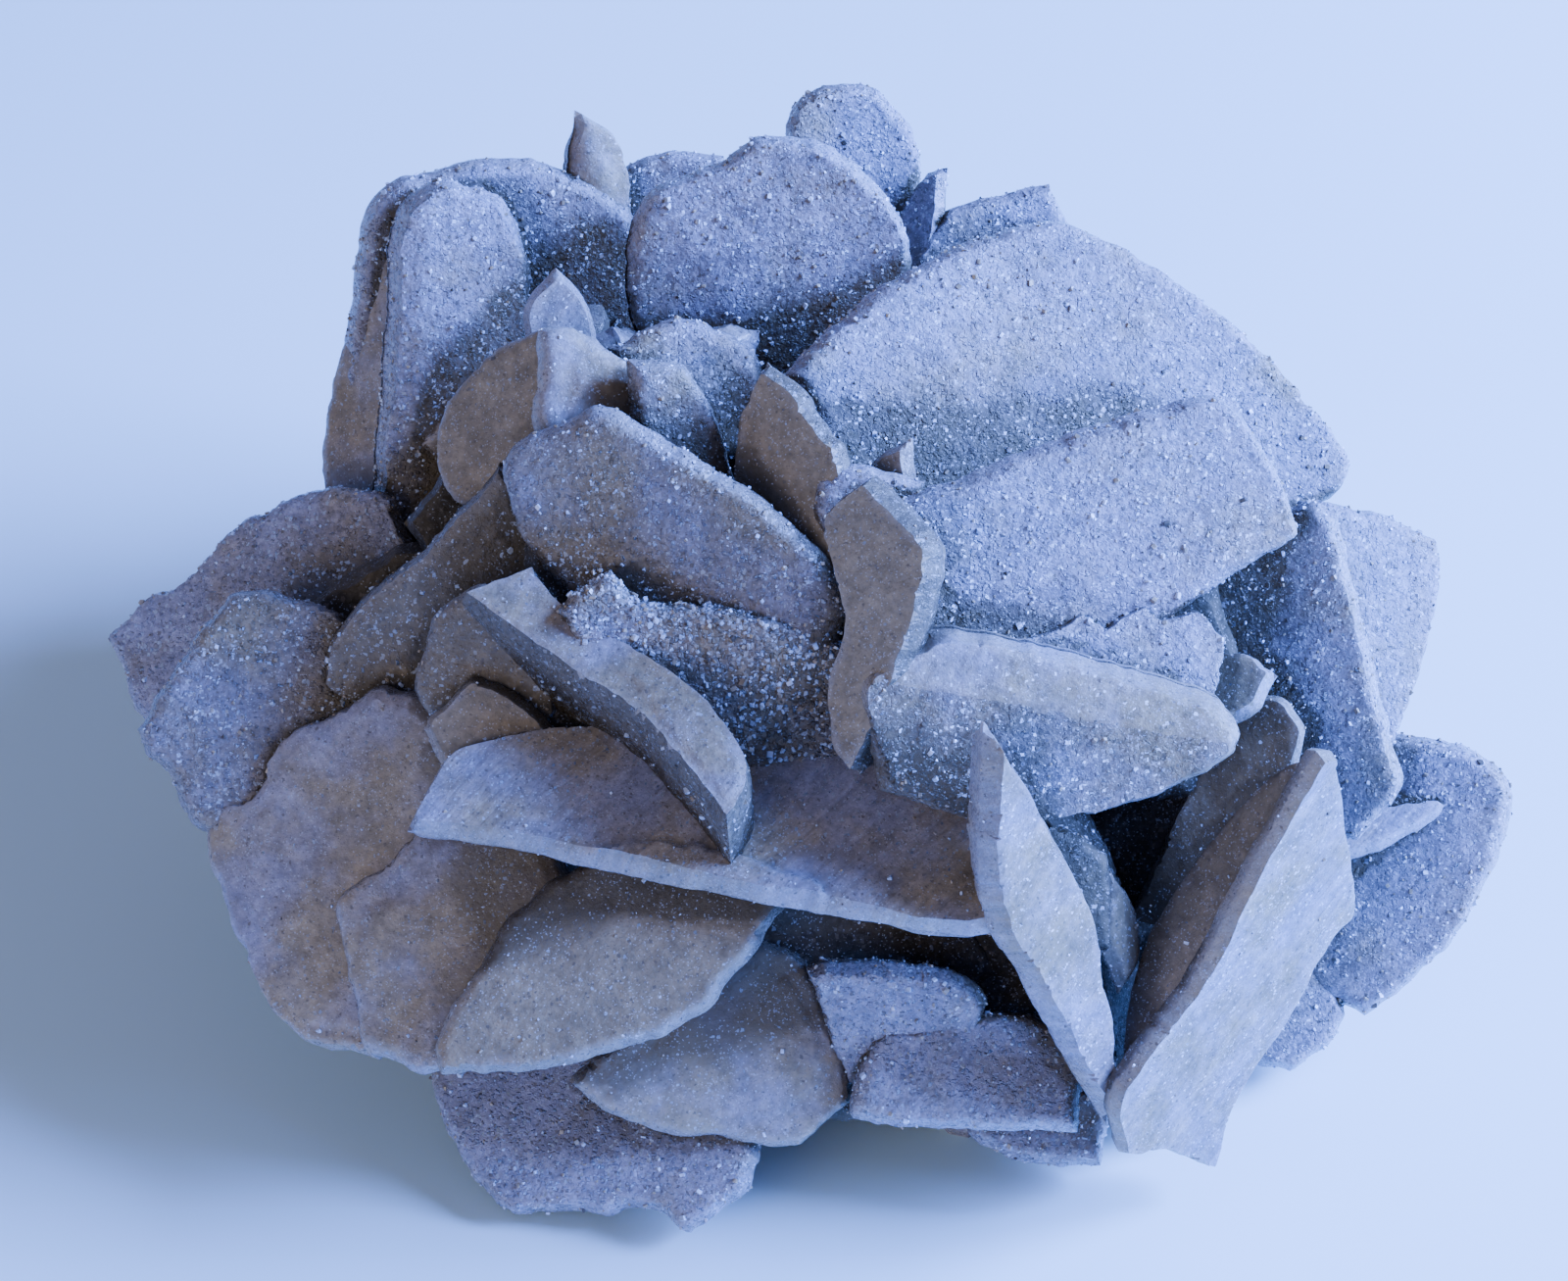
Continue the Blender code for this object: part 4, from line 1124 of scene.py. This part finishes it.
# The finest grains, the same in every finish, how strongly dark and finest grains and streaks
# show, and how much darker and lighter single grains of a full cover are
FINEST = {"Grain": 0.15, "Cover": 0.3, "Light share": 0.08, "Dark share": 0.09}
DARK_FLECK = 0.75
FINEST_FLECKS = (0.4, 0.45)
STREAKS = 0.22
DARKER = 0.45
LIGHTER = 0.35

# How the grains and the rims change the roughness, how deep the relief is in metres, and how far
# the grains are turned to glint
ROUGH_SPREAD = (-0.2, 0.22)
RIM_GLOSS = 0.25
RELIEF_DEPTH = 0.00025
GLINT = 1.1
GLINT_LEAST = 0.3
GYPSUM_IOR = 1.52
QUARTZ_IOR = 1.54
CLEAR_DEPTH = 0.0012
CLEAR_SHARES = (1.0, 0.75, 0.6)


def object_place(tree):
    """The place on a piece, in metres."""
    return node(tree, "TexCoord").outputs["Object"]


def new_material(name):
    """A material, its nodes and its shader's inputs."""
    material = bpy.data.materials.new(name)
    material.use_nodes = True
    return material, material.node_tree, material.node_tree.nodes["Principled BSDF"].inputs


def finish_material(key):
    """The material of one finish, from the shared groups."""
    finish = FINISHES[key]
    colours = bpy.context.scene.desert_rose_colours
    material, tree, shader = new_material(finish.name)
    where = object_place(tree)
    place = node(tree, "Attribute", attribute_name="place").outputs["Vector"]
    shut = node(tree, "Attribute", attribute_name="shelter").outputs["Fac"]
    body = placed(tree, "Clouded gypsum", {
        "Vector": where, "Place": place, "Shelter": shut, "Warm": colours.warm,
        "Cool": colours.cool, "Rim": colours.rim, "Dust": colours.dust,
        "Warm share": finish.warm_share, "Rim amount": finish.rim, "Dust and shade amount": finish.dusty})
    sand = placed(tree, "Stuck sand", {
        "Vector": where, "Grain": finish.grain, "Cover": finish.cover,
        "Light share": finish.light, "Dark share": finish.dark})
    finest = placed(tree, "Stuck sand", {"Vector": where, **FINEST})

    # The tone darkens the colour; in the dull, rough, dark and deep finishes this is painted shade
    shade = ranged(tree, sand["Shade"], (0.0, 1.0), (
        finish.tone * (1.0 - DARKER * finish.cover), finish.tone * (1.0 + LIGHTER * finish.cover)))
    colour = shaded(tree, body["Color"], shade)
    relief = product(tree, sand["Height"], finish.bump)
    grit = noise(tree, where, scale=1500.0, detail=4.0, roughness=0.72)
    relief = math_node(tree, "ADD", relief, product(tree, grit, finish.grit))
    if finish.lines:
        lines = placed(tree, "Growth lines", {"Place": place})["Height"]
        streak = STREAKS * finish.lines
        colour = shaded(
            tree, colour, ranged(tree, lines, (0.3, 0.7), (1.0 - streak, 1.0 + streak)))
        relief = math_node(tree, "ADD", relief, product(tree, lines, finish.lines))
    # Light flecks are pale quartz grains and partly painted glints; dark flecks are dark grains and pores
    light_fleck, dark_fleck = FINEST_FLECKS
    for grains, strength, grain in (
            (sand["Light"], finish.fleck, colours.light_grains_and_glints),
            (sand["Dark"], DARK_FLECK, colours.grain_dark),
            (finest["Light"], light_fleck, colours.light_grains_and_glints),
            (finest["Dark"], dark_fleck, colours.grain_dark)):
        colour = mixed(tree, product(tree, grains, strength), colour, tuple(grain))
    tree.links.new(colour, shader["Base Color"])

    dull = ranged(
        tree, sand["Shade"], (0.0, 1.0), [finish.rough + spread for spread in ROUGH_SPREAD])
    glossy = product(
        tree, math_node(tree, "MAXIMUM", body["Rim"], sand["Light"]), RIM_GLOSS)
    tree.links.new(math_node(tree, "SUBTRACT", dull, glossy), shader["Roughness"])

    bump = node(tree, "Bump", {"Strength": 1.0, "Distance": RELIEF_DEPTH, "Height": relief})
    glint = product(
        tree, math_node(tree, "MAXIMUM", sand["Light"], GLINT_LEAST * finish.cover), GLINT)
    turned = vector_node(tree, "SCALE", {0: sand["Turn"], "Scale": glint})
    tilted = vector_node(tree, "ADD", {0: bump.outputs[0], 1: turned})
    tree.links.new(vector_node(tree, "NORMALIZE", {0: tilted}), shader["Normal"])

    shader["IOR"].default_value = GYPSUM_IOR
    shader["Subsurface Weight"].default_value = finish.clear
    shader["Subsurface Radius"].default_value = CLEAR_SHARES
    shader["Subsurface Scale"].default_value = CLEAR_DEPTH
    return material


def grain_material(name, colour, rough):
    """The material of one kind of stuck-on grain, with a little spread from grain to grain."""
    material, tree, shader = new_material(name)
    spread = noise(tree, object_place(tree), scale=1400.0, detail=0.0)
    light = ranged(tree, spread, (0.3, 0.7), (0.7, 1.25))
    tree.links.new(shaded(tree, tuple(colour), light), shader["Base Color"])
    tree.links.new(product(tree, light, rough), shader["Roughness"])
    shader["IOR"].default_value = QUARTZ_IOR
    return material


# A grain as shares of a unit: the cube that it starts from, its cut corners and its unevenness
CUBE = 0.8
CORNER_CUT = 0.3
UNEVEN = 0.07
SHAPE_SEED = 5


def grain_shape():
    """One angular grain, about a unit across: its points and its faces."""
    rng = random.Random(SHAPE_SEED)
    bm = bmesh.new()
    bmesh.ops.create_cube(bm, size=CUBE)
    bmesh.ops.bevel(
        bm, geom=[v for v in bm.verts if v.co.x == v.co.y == v.co.z], offset=CORNER_CUT,
        offset_type="OFFSET", segments=1, profile=0.5, affect="VERTICES", material=-1)
    for vert in bm.verts:
        vert.co += Vector(rng.uniform(-UNEVEN, UNEVEN) for _ in range(3))
    bmesh.ops.triangulate(bm, faces=bm.faces)
    bmesh.ops.recalc_face_normals(bm, faces=bm.faces)
    points = np.array([v.co for v in bm.verts])
    faces = np.array(sorted([v.index for v in f.verts] for f in bm.faces))
    bm.free()
    return points, faces


def sand_spots(pieces, tree, rng, share):
    """Points in the open on the blades where grains are stuck, the surface's direction and a size."""
    found = []
    relief_of = {FINISHES[key].name: relief for key, relief in RELIEFS.items()}
    for piece in pieces:
        mesh = piece.data
        corners = all_triangles(mesh)
        kinds = np.zeros(len(corners), np.int32)
        mesh.loop_triangles.foreach_get("material_index", kinds)
        points = vertex_array(mesh, "co")
        place = np.zeros(len(points) * 3, np.float32)
        mesh.attributes["place"].data.foreach_get("vector", place)
        inward = place.reshape(-1, 3)[:, 2]
        reliefs = [relief_of[m.name] for m in mesh.materials]
        density = np.array([relief.sand for relief in reliefs])[kinds]
        a, b, c = (points[corners[:, k]] for k in range(3))
        cross = np.cross(b - a, c - a)
        area = np.linalg.norm(cross, axis=1) / 2
        normal = cross / np.maximum(2 * area, 1e-15)[:, None]
        wanted = density * area * SQUARE_MM_A_SQUARE_METRE * share
        crust = (inward[corners[:, 0]] < CRUST_WIDTH) & (normal[:, 2] > CRUST_RISE)
        wanted *= np.where(crust, CRUST_SHARE, 1.0)
        wanted *= np.clip(1 + PATCH_FAR * lattice_noise(a, PATCH_SIZE, PATCH_SEED), *PATCH_RANGE)
        chosen = np.repeat(np.arange(len(corners)), rng.poisson(wanted))
        u = rng.random(len(chosen))
        v = rng.random(len(chosen))
        flip = u + v > 1
        u[flip], v[flip] = 1 - u[flip], 1 - v[flip]
        at = a[chosen] + (b - a)[chosen] * u[:, None] + (c - a)[chosen] * v[:, None]
        size = np.array([relief.across for relief in reliefs])[kinds[chosen]]
        for p, n, across in zip(at, normal[chosen], size):
            out = Vector(n)
            if tree.ray_cast(Vector(p) + out * OPEN_START, out, OPEN_REACH)[0] is None:
                found.append((*p, *n, across))
    found = np.array(found)
    return found[:, :3], found[:, 3:6], found[:, 6]


def random_turns(count, rng):
    """That many random rotation matrices."""
    q = rng.normal(size=(count, 4))
    w, x, y, z = (q / np.linalg.norm(q, axis=1)[:, None]).T
    return np.stack((
        1 - 2 * (y * y + z * z), 2 * (x * y - z * w), 2 * (x * z + y * w),
        2 * (x * y + z * w), 1 - 2 * (x * x + z * z), 2 * (y * z - x * w),
        2 * (x * z - y * w), 2 * (y * z + x * w), 1 - 2 * (x * x + y * y)),
        axis=1).reshape(-1, 3, 3)


def scatter(name, material, points, normals, sizes, rng):
    """A piece of many small grains, each sunk a little into the surface."""
    shape, faces = grain_shape()
    stretch = rng.uniform(*GRAIN_STRETCH, size=(len(points), 1, 3)) * sizes[:, None, None]
    turned = np.einsum("nij,nkj->nki", random_turns(len(points), rng), shape[None] * stretch)
    verts = turned + (points + normals * (GRAIN_RISE * sizes)[:, None])[:, None, :]
    verts[:, :, 2] = np.maximum(verts[:, :, 2], 0.0)
    all_faces = faces[None] + (np.arange(len(points)) * len(shape))[:, None, None]
    mesh = bpy.data.meshes.new(name)
    mesh.from_pydata(verts.reshape(-1, 3).tolist(), [], all_faces.reshape(-1, 3).tolist())
    settle_piece(new_object(name, mesh, material))


def blade_pieces():
    """The finished blades so far."""
    return [o for o in bpy.context.scene.objects if o.type == "MESH" and "place" in o.data.attributes]


class RoseSizes(bpy.types.PropertyGroup):
    """Sizes of the rose's surface detail."""

    spacing: bpy.props.FloatProperty(
        name="Point spacing", description="Distance between the points of a blade's surface",
        default=0.0005, min=0.0003, max=0.003, precision=5, unit="LENGTH")
    inner_spacing: bpy.props.FloatProperty(
        name="Inner point spacing", description="The same, for blades deep inside",
        default=0.0014, min=0.0005, max=0.005, precision=5, unit="LENGTH")
    sand_share: bpy.props.FloatProperty(
        name="Amount of sand", description="How many grains are stuck on, against the usual",
        default=1.0, min=0.0, max=2.0, subtype="FACTOR")
    grain: bpy.props.FloatProperty(
        name="Grain size", description="Middle size of a stuck-on grain",
        default=0.00026, min=0.0001, max=0.002, precision=5, unit="LENGTH")


def colour_setting(name, description, red, green, blue):
    """A colour that the user can change."""
    return bpy.props.FloatVectorProperty(
        name=name, description=description, size=4, subtype="COLOR", min=0, max=1,
        default=(red, green, blue, 1.0))


class RoseColours(bpy.types.PropertyGroup):
    """Colours of the gypsum and its sand."""

    warm: colour_setting("Warm gypsum", "Where the blades are stained by clay", 0.255, 0.205, 0.14)
    cool: colour_setting("Cool gypsum", "Where the blades are clean", 0.25, 0.25, 0.345)
    rim: colour_setting("Rims", "Thin clear rims", 0.42, 0.42, 0.48)
    # The dust colour is also painted shade where the blades close in and in the drawn shadow areas
    dust: colour_setting("Dust", "Brown dust deep in the gaps", 0.07, 0.053, 0.032)
    # The light grains' colour; on the blades their flecks are also painted glints
    light_grains_and_glints: colour_setting("Light grains", "Clear quartz grains", 0.5, 0.57, 0.72)
    grain_tan: colour_setting("Tan grains", "Stained quartz grains", 0.34, 0.28, 0.215)
    grain_dark: colour_setting("Dark grains", "Dark mineral grains and pores", 0.09, 0.075, 0.065)


class StageLook(bpy.types.PropertyGroup):
    """The floor and the light."""

    floor: colour_setting("Floor", "The plain floor", 0.62, 0.86, 1.0)
    sky: colour_setting("Sky", "Soft light from all round", 0.48, 0.53, 1.0)
    sky_strength: bpy.props.FloatProperty(
        name="Sky strength", description="How bright the light from all round is",
        default=0.45, min=0, max=5)
    key_power: bpy.props.FloatProperty(
        name="Key power", description="Power of the large light at the right",
        default=66.0, min=0, max=300, unit="POWER")


class ROSE_OT_lower_blades(bpy.types.Operator):
    """Grow the long front step and the leaves below it."""

    bl_idname = "rose.lower_blades"
    bl_label = "Lower blades"

    def execute(self, context):
        grow(drawn_bodies(LOWER_BLADES), context.scene.desert_rose_sizes.spacing, seed=100)
        return {"FINISHED"}


class ROSE_OT_front_right_blades(bpy.types.Operator):
    """Grow the fin and the big slab at the right front, and what is between them."""

    bl_idname = "rose.front_right_blades"
    bl_label = "Front right blades"

    def execute(self, context):
        grow(drawn_bodies(FRONT_RIGHT_BLADES), context.scene.desert_rose_sizes.spacing, seed=300)
        return {"FINISHED"}


class ROSE_OT_middle_blades(bpy.types.Operator):
    """Grow the blades in the middle."""

    bl_idname = "rose.middle_blades"
    bl_label = "Middle blades"

    def execute(self, context):
        grow(drawn_bodies(MIDDLE_BLADES), context.scene.desert_rose_sizes.spacing, seed=500)
        return {"FINISHED"}


class ROSE_OT_upper_blades(bpy.types.Operator):
    """Grow the tall blades along the top."""

    bl_idname = "rose.upper_blades"
    bl_label = "Upper blades"

    def execute(self, context):
        grow(drawn_bodies(UPPER_BLADES), context.scene.desert_rose_sizes.spacing, seed=700)
        return {"FINISHED"}


class ROSE_OT_side_blades(bpy.types.Operator):
    """Grow the outer plates at the two sides."""

    bl_idname = "rose.side_blades"
    bl_label = "Side blades"

    def execute(self, context):
        grow(drawn_bodies(SIDE_BLADES), context.scene.desert_rose_sizes.spacing, seed=900)
        return {"FINISHED"}


class ROSE_OT_back_blades(bpy.types.Operator):
    """Grow the rows of petals round the back."""

    bl_idname = "rose.back_blades"
    bl_label = "Back blades"

    def execute(self, context):
        spacing = context.scene.desert_rose_sizes.spacing * BACK_COARSER
        grow(back_bodies(), spacing, seed=1100)
        return {"FINISHED"}


class ROSE_OT_heart(bpy.types.Operator):
    """Grow the inner blades and the solid middle that all of them are rooted in."""

    bl_idname = "rose.heart"
    bl_label = "Heart and inner blades"

    def execute(self, context):
        spacing = context.scene.desert_rose_sizes.inner_spacing
        grow(drawn_bodies(INNER_BLADES), spacing, seed=1500)
        bm = bmesh.new()
        bmesh.ops.create_icosphere(bm, subdivisions=HEART_ROUNDNESS, radius=1.0)
        bmesh.ops.scale(bm, vec=DOME * HEART_SHARE * MM, verts=bm.verts)
        swell_heart(bm)
        bmesh.ops.translate(bm, vec=(DOME_MIDDLE + SETTLE) * MM, verts=bm.verts)
        cut = bmesh.ops.bisect_plane(
            bm, geom=bm.verts[:] + bm.edges[:] + bm.faces[:], plane_co=(0, 0, 0),
            plane_no=(0, 0, -1), clear_outer=True)
        bmesh.ops.contextual_create(
            bm, geom=[g for g in cut["geom_cut"] if isinstance(g, bmesh.types.BMEdge)])
        bmesh.ops.recalc_face_normals(bm, faces=bm.faces)
        mesh = bpy.data.meshes.new("heart")
        bm.to_mesh(mesh)
        bm.free()
        set_layer(mesh, "place", np.full((len(mesh.vertices), 3), HEART_DEPTH))
        mesh.shade_smooth()
        settle_piece(new_object("heart", mesh, bpy.data.materials[FINISHES["sugared"].name]))
        return {"FINISHED"}


class ROSE_OT_dust_and_shade(bpy.types.Operator):
    """Let dust and painted shade gather in the gaps between the blades."""

    bl_idname = "rose.dust"
    bl_label = "Dust and shade in the gaps"

    def execute(self, context):
        pieces = blade_pieces()
        tree = blades_tree(pieces)
        for piece in pieces:
            gather_dust_and_shade(piece.data, tree)
        return {"FINISHED"}


class ROSE_OT_sand(bpy.types.Operator):
    """Stick grains of sand on the blades."""

    bl_idname = "rose.sand"
    bl_label = "Stuck-on sand"

    def execute(self, context):
        sizes = context.scene.desert_rose_sizes
        colours = context.scene.desert_rose_colours
        rng = np.random.default_rng(SAND_SEED)
        pieces = blade_pieces()
        points, normals, size = sand_spots(pieces, blades_tree(pieces), rng, sizes.sand_share)
        kind = rng.random(len(points))
        spread = np.clip(np.exp(rng.normal(0, GRAIN_SPREAD, len(points))), *GRAIN_RANGE)
        across = sizes.grain * size * spread
        low = 0.0
        for name, label, colour, rough, high in (
                ("sand_clear", "Clear quartz grains", colours.light_grains_and_glints, 0.2, 0.6),
                ("sand_tan", "Stained quartz grains", colours.grain_tan, 0.35, 0.94),
                ("sand_dark", "Dark mineral grains", colours.grain_dark, 0.5, 1.0)):
            material = grain_material(label, colour, rough)
            some = np.flatnonzero((kind >= low) & (kind < high))
            low = high
            shares = -(-len(some) // GRAINS_A_PIECE)
            for number, few in enumerate(np.array_split(some, shares)):
                scatter(
                    f"{name}_{number}", material, points[few], normals[few], across[few], rng)
        return {"FINISHED"}


# The stage, in metres: the floor, and the two square lights with what they face
FLOOR_HALF = 4.0
FLOOR_ROUGH = 0.85
LIT_POINT = Vector((0.0, 0.0, 0.03))
KEY_COLOUR = (0.165, 0.32, 1.0)
KEY_SIZE = 0.45
KEY_PLACE = Vector((0.67, -0.02, 0.39))
FILL_SHARE = 0.026
FILL_COLOUR = (1.0, 0.84, 0.6)
FILL_SIZE = 0.4
FILL_PLACE = Vector((-0.4, -0.6, 0.25))


class ROSE_OT_stage(bpy.types.Operator):
    """Lay the floor and set up the light and the camera."""

    bl_idname = "rose.stage"
    bl_label = "Floor, light and camera"

    def execute(self, context):
        look = context.scene.desert_rose_stage
        bm = bmesh.new()
        bmesh.ops.create_grid(bm, x_segments=1, y_segments=1, size=FLOOR_HALF)
        mesh = bpy.data.meshes.new("floor")
        bm.to_mesh(mesh)
        bm.free()
        paint, _, shader = new_material("Pale floor")
        shader["Base Color"].default_value = look.floor
        shader["Roughness"].default_value = FLOOR_ROUGH
        new_object("floor", mesh, paint)

        world = bpy.data.worlds.new("Soft light")
        context.scene.world = world
        world.use_nodes = True
        sky = world.node_tree.nodes["Background"]
        sky.inputs["Color"].default_value = look.sky
        sky.inputs["Strength"].default_value = look.sky_strength
        self.add_light("key", look.key_power, KEY_COLOUR, KEY_SIZE, KEY_PLACE)
        self.add_light("fill", look.key_power * FILL_SHARE, FILL_COLOUR, FILL_SIZE, FILL_PLACE)

        camera = new_object("camera", bpy.data.cameras.new("camera"))
        camera.location = (EYE + SETTLE) * MM
        camera.rotation_euler = TO_EYE.to_track_quat("Z", "Y").to_euler()
        camera.data.lens = SENSOR * EYE_DISTANCE / FRAME_WIDTH
        camera.data.clip_start = 0.01
        context.scene.camera = camera
        return {"FINISHED"}

    def add_light(self, name, power, colour, size, where):
        """A square soft light that faces the rose."""
        lamp = bpy.data.lights.new(name, "AREA")
        lamp.energy = power
        lamp.color = colour
        lamp.size = size
        light = new_object(name, lamp)
        light.location = where
        light.rotation_euler = (where - LIT_POINT).to_track_quat("Z", "Y").to_euler()


STEPS = (
    ROSE_OT_lower_blades, ROSE_OT_front_right_blades, ROSE_OT_middle_blades,
    ROSE_OT_upper_blades, ROSE_OT_side_blades, ROSE_OT_back_blades, ROSE_OT_heart,
    ROSE_OT_dust_and_shade, ROSE_OT_sand, ROSE_OT_stage)


class ROSE_PT_panel(bpy.types.Panel):
    """The steps of the desert rose, in order."""

    bl_idname = "ROSE_PT_panel"
    bl_label = "Desert rose"
    bl_space_type = "VIEW_3D"
    bl_region_type = "UI"
    bl_category = "Desert rose"

    def draw(self, context):
        for name in SETTINGS:
            settings = getattr(context.scene, name)
            for key in settings.__annotations__:
                self.layout.prop(settings, key)
        for step in STEPS:
            self.layout.operator(step.bl_idname)


SETTINGS = {
    "desert_rose_sizes": RoseSizes,
    "desert_rose_colours": RoseColours,
    "desert_rose_stage": StageLook,
}


def register():
    for each in (*SETTINGS.values(), *STEPS, ROSE_PT_panel):
        bpy.utils.register_class(each)
    for key, settings in SETTINGS.items():
        setattr(bpy.types.Scene, key, bpy.props.PointerProperty(type=settings))


def unregister():
    for key in SETTINGS:
        delattr(bpy.types.Scene, key)
    for each in reversed((*SETTINGS.values(), *STEPS, ROSE_PT_panel)):
        bpy.utils.unregister_class(each)


def main():
    register()
    bpy.ops.rose.lower_blades()
    bpy.ops.rose.front_right_blades()
    bpy.ops.rose.middle_blades()
    bpy.ops.rose.upper_blades()
    bpy.ops.rose.side_blades()
    bpy.ops.rose.back_blades()
    bpy.ops.rose.heart()
    bpy.ops.rose.dust()
    bpy.ops.rose.sand()
    bpy.ops.rose.stage()


if __name__ == "__main__":
    main()
